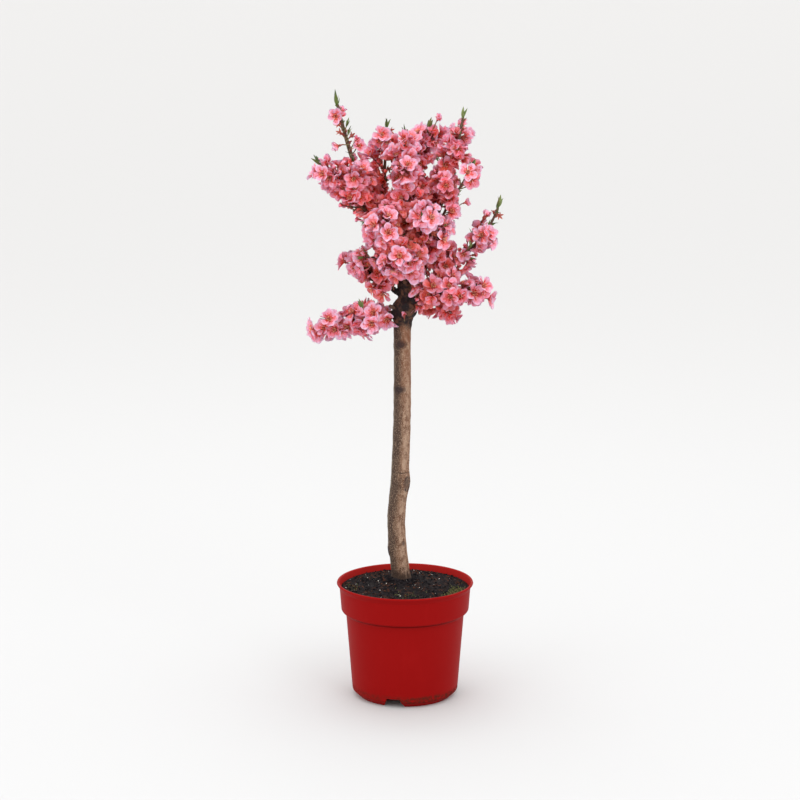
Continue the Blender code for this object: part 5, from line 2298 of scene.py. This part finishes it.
    def crumbs(self) -> list[Shape]:
        """Strew loose crumbs: brown in patches, and a heap round the trunk kept dark, partly real soil
        and partly painted shade at the trunk's left and front.

        Returns:
            The crumbs.
        """
        parts = []
        for _ in range(self.crumb_count):
            heaped = self.rng.random() < self.heap_share
            least, more = self.crumb_size
            size = least + more * self.rng.random() ** (1.6 if heaped else 2.8)
            spot = self.heaped() if heaped else self.spot()
            brown = noise.noise(spot * 34.0) + 0.4 * noise.noise(spot * 110.0)
            # Heaped crumbs get no brown: partly real dark soil, partly painted shade round the trunk's
            # foot
            tints = (0, 0, 1) if heaped or brown < 0.03 else (0, 1, 2, 2)
            lump = self.lump(size, 0.8, self.rng.choice(tints))
            parts.append(lump.moved(Matrix.Identity(3), spot + UP * size * 0.35))
        return parts

    def fibres(self) -> list[Shape]:
        """Strew bits of bark and root fibre.

        Returns:
            The fibres.
        """
        parts = []
        for _ in range(self.fibre_count):
            spot = self.spot(outer=0.94)
            angle = self.rng.uniform(0.0, tau)
            length = self.rng.uniform(*self.fibre_length)
            along = Vector((cos(angle), sin(angle), self.rng.uniform(-0.15, 0.45)))
            bend = radial(along.normalized(), self.rng.uniform(0.0, tau)) * length * 0.10
            path = [spot + UP * 0.0006 + along * length * (share - 0.5)
                    + bend * sin(pi * share) for share in (0.0, 0.33, 0.66, 1.0)]
            thick = self.rng.uniform(*self.fibre_radius)
            parts.append(tube(path, [thick * 0.5, thick, thick * 0.9, thick * 0.3], 4,
                              self.rng.choice((0, 0, 1))))
        return parts

    def perlite(self) -> list[Shape]:
        """Strew white perlite grains.

        Returns:
            The grains.
        """
        parts = []
        for _ in range(self.perlite_count):
            size = self.perlite_size[0] + self.perlite_size[1] * self.rng.random() ** 1.6
            lump = self.lump(size, 0.8, 0)
            parts.append(lump.moved(Matrix.Identity(3), self.spot() + UP * size * 0.55))
        return parts

    def moss(self) -> list[Shape]:
        """Set the moss: a patch near the edge at the right and two thin ones.

        Returns:
            Its strands.
        """
        parts = []
        patches = [patch[:3] for patch in self.moss_patches for _ in range(patch[3])]
        for direction, spread, share in patches:
            angle = radians(self.rng.gauss(direction, spread))
            radius = self.edge_radius() * min(0.985, self.rng.gauss(share, 0.06))
            foot = self.on_top(radius * cos(angle), radius * sin(angle))
            lean = Vector((self.rng.uniform(-0.5, 0.5), self.rng.uniform(-0.5, 0.5), 1.0))
            tip = foot + lean.normalized() * self.rng.uniform(*self.moss_length)
            parts.append(tube([foot, tip], self.moss_radii, 3, self.rng.choice((0, 1))))
        return parts

    def build(self) -> None:
        """Make the soil and what lies on it."""
        body = self.body().built("soil_body", [Compost().material()], radians(60.0))
        take_over(body, ("soil",))
        flat = radians(30.0)
        add_small("soil_crumbs", self.crumbs(), flat)
        add_small("soil_fibres", self.fibres(), flat)
        add_small("perlite", self.perlite(), smooth_angle=flat)
        add_small("moss", self.moss(), smooth_angle=flat)


# Studio

@dataclass(frozen=True)
class Lamp:
    """A soft square light that looks at the plant."""

    name: str
    place: Point
    size: float
    power: float
    colour: Colour = (1.0, 1.0, 1.0)

    def build(self, target: Vector) -> None:
        """Hang the lamp.

        Args:
            target: the point that it looks at.
        """
        data = bpy.data.lights.new(self.name, "AREA")
        data.shape = "SQUARE"
        data.size = self.size
        data.energy = self.power
        data.color = self.colour
        lamp = bpy.data.objects.new(self.name, data)
        lamp.location = self.place
        lamp.rotation_euler = (target - Vector(self.place)).to_track_quat("-Z", "Y").to_euler()
        bpy.context.scene.collection.objects.link(lamp)


@dataclass
class Studio:
    """A pale floor, soft light and the camera at the height of the real one."""

    camera_place: Point = EYE
    camera_pitch: float = 11.36
    lens: float = 108.0
    sensor: float = 36.0
    floor_size: float = 160.0
    floor_colour: Colour = (0.590, 0.615, 0.640)
    sky: Colour = (1.0, 0.955, 0.912)
    sky_strength: float = 1.42
    lamps: tuple[Lamp, ...] = (
        Lamp("key_lamp", (1.3, -2.0, 2.2), 1.3, 11.5, (0.97, 0.985, 1.0)),
        Lamp("fill_lamp", (-2.0, -1.7, 1.3), 1.6, 6.5, (0.97, 0.985, 1.0)),
        Lamp("top_lamp", (-0.2, 0.9, 2.6), 1.4, 9.0, (0.97, 0.985, 1.0)),
    )

    def build(self) -> None:
        """Set up floor, light and camera."""
        scene = bpy.context.scene
        half = self.floor_size / 2.0
        corners = [(-half, -half, 0.0), (half, -half, 0.0), (half, half, 0.0), (-half, half, 0.0)]
        floor = Shape.of(corners, [(0, 1, 2, 3)]).built(
            "floor", [Tint("pale_floor", self.floor_colour, 0.9).material()], None)
        world = bpy.data.worlds.new("soft_sky")
        world.use_nodes = True
        background = world.node_tree.nodes["Background"]
        background.inputs["Color"].default_value = (*self.sky, 1.0)
        background.inputs["Strength"].default_value = self.sky_strength
        scene.world = world
        for lamp in self.lamps:
            lamp.build(Vector((0.0, 0.0, 0.4)))
        data = bpy.data.cameras.new("camera")
        data.lens = self.lens
        data.sensor_width = self.sensor
        data.clip_end = 100.0
        camera = bpy.data.objects.new("camera", data)
        camera.location = self.camera_place
        camera.rotation_euler = (radians(90.0 - self.camera_pitch), 0.0, 0.0)
        scene.collection.objects.link(camera)
        scene.camera = camera
        scene.view_settings.view_transform = "Standard"


def main() -> None:
    """Build the looks."""
    logging.basicConfig(level=logging.INFO, format="%(message)s")
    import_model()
    rng = random.Random(SEED)
    low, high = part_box("pot")
    pot = Pot(height=high.z - low.z, rim_radius=(high.x - low.x) / 2.0)
    pot.build()
    frame = Frame()
    Soil(pot, frame.trunk_at(frame.trunk[0].height)[0], rng).build()
    Wood(frame).build()
    Crown(frame).build()
    Studio().build()


if __name__ == "__main__":
    main()
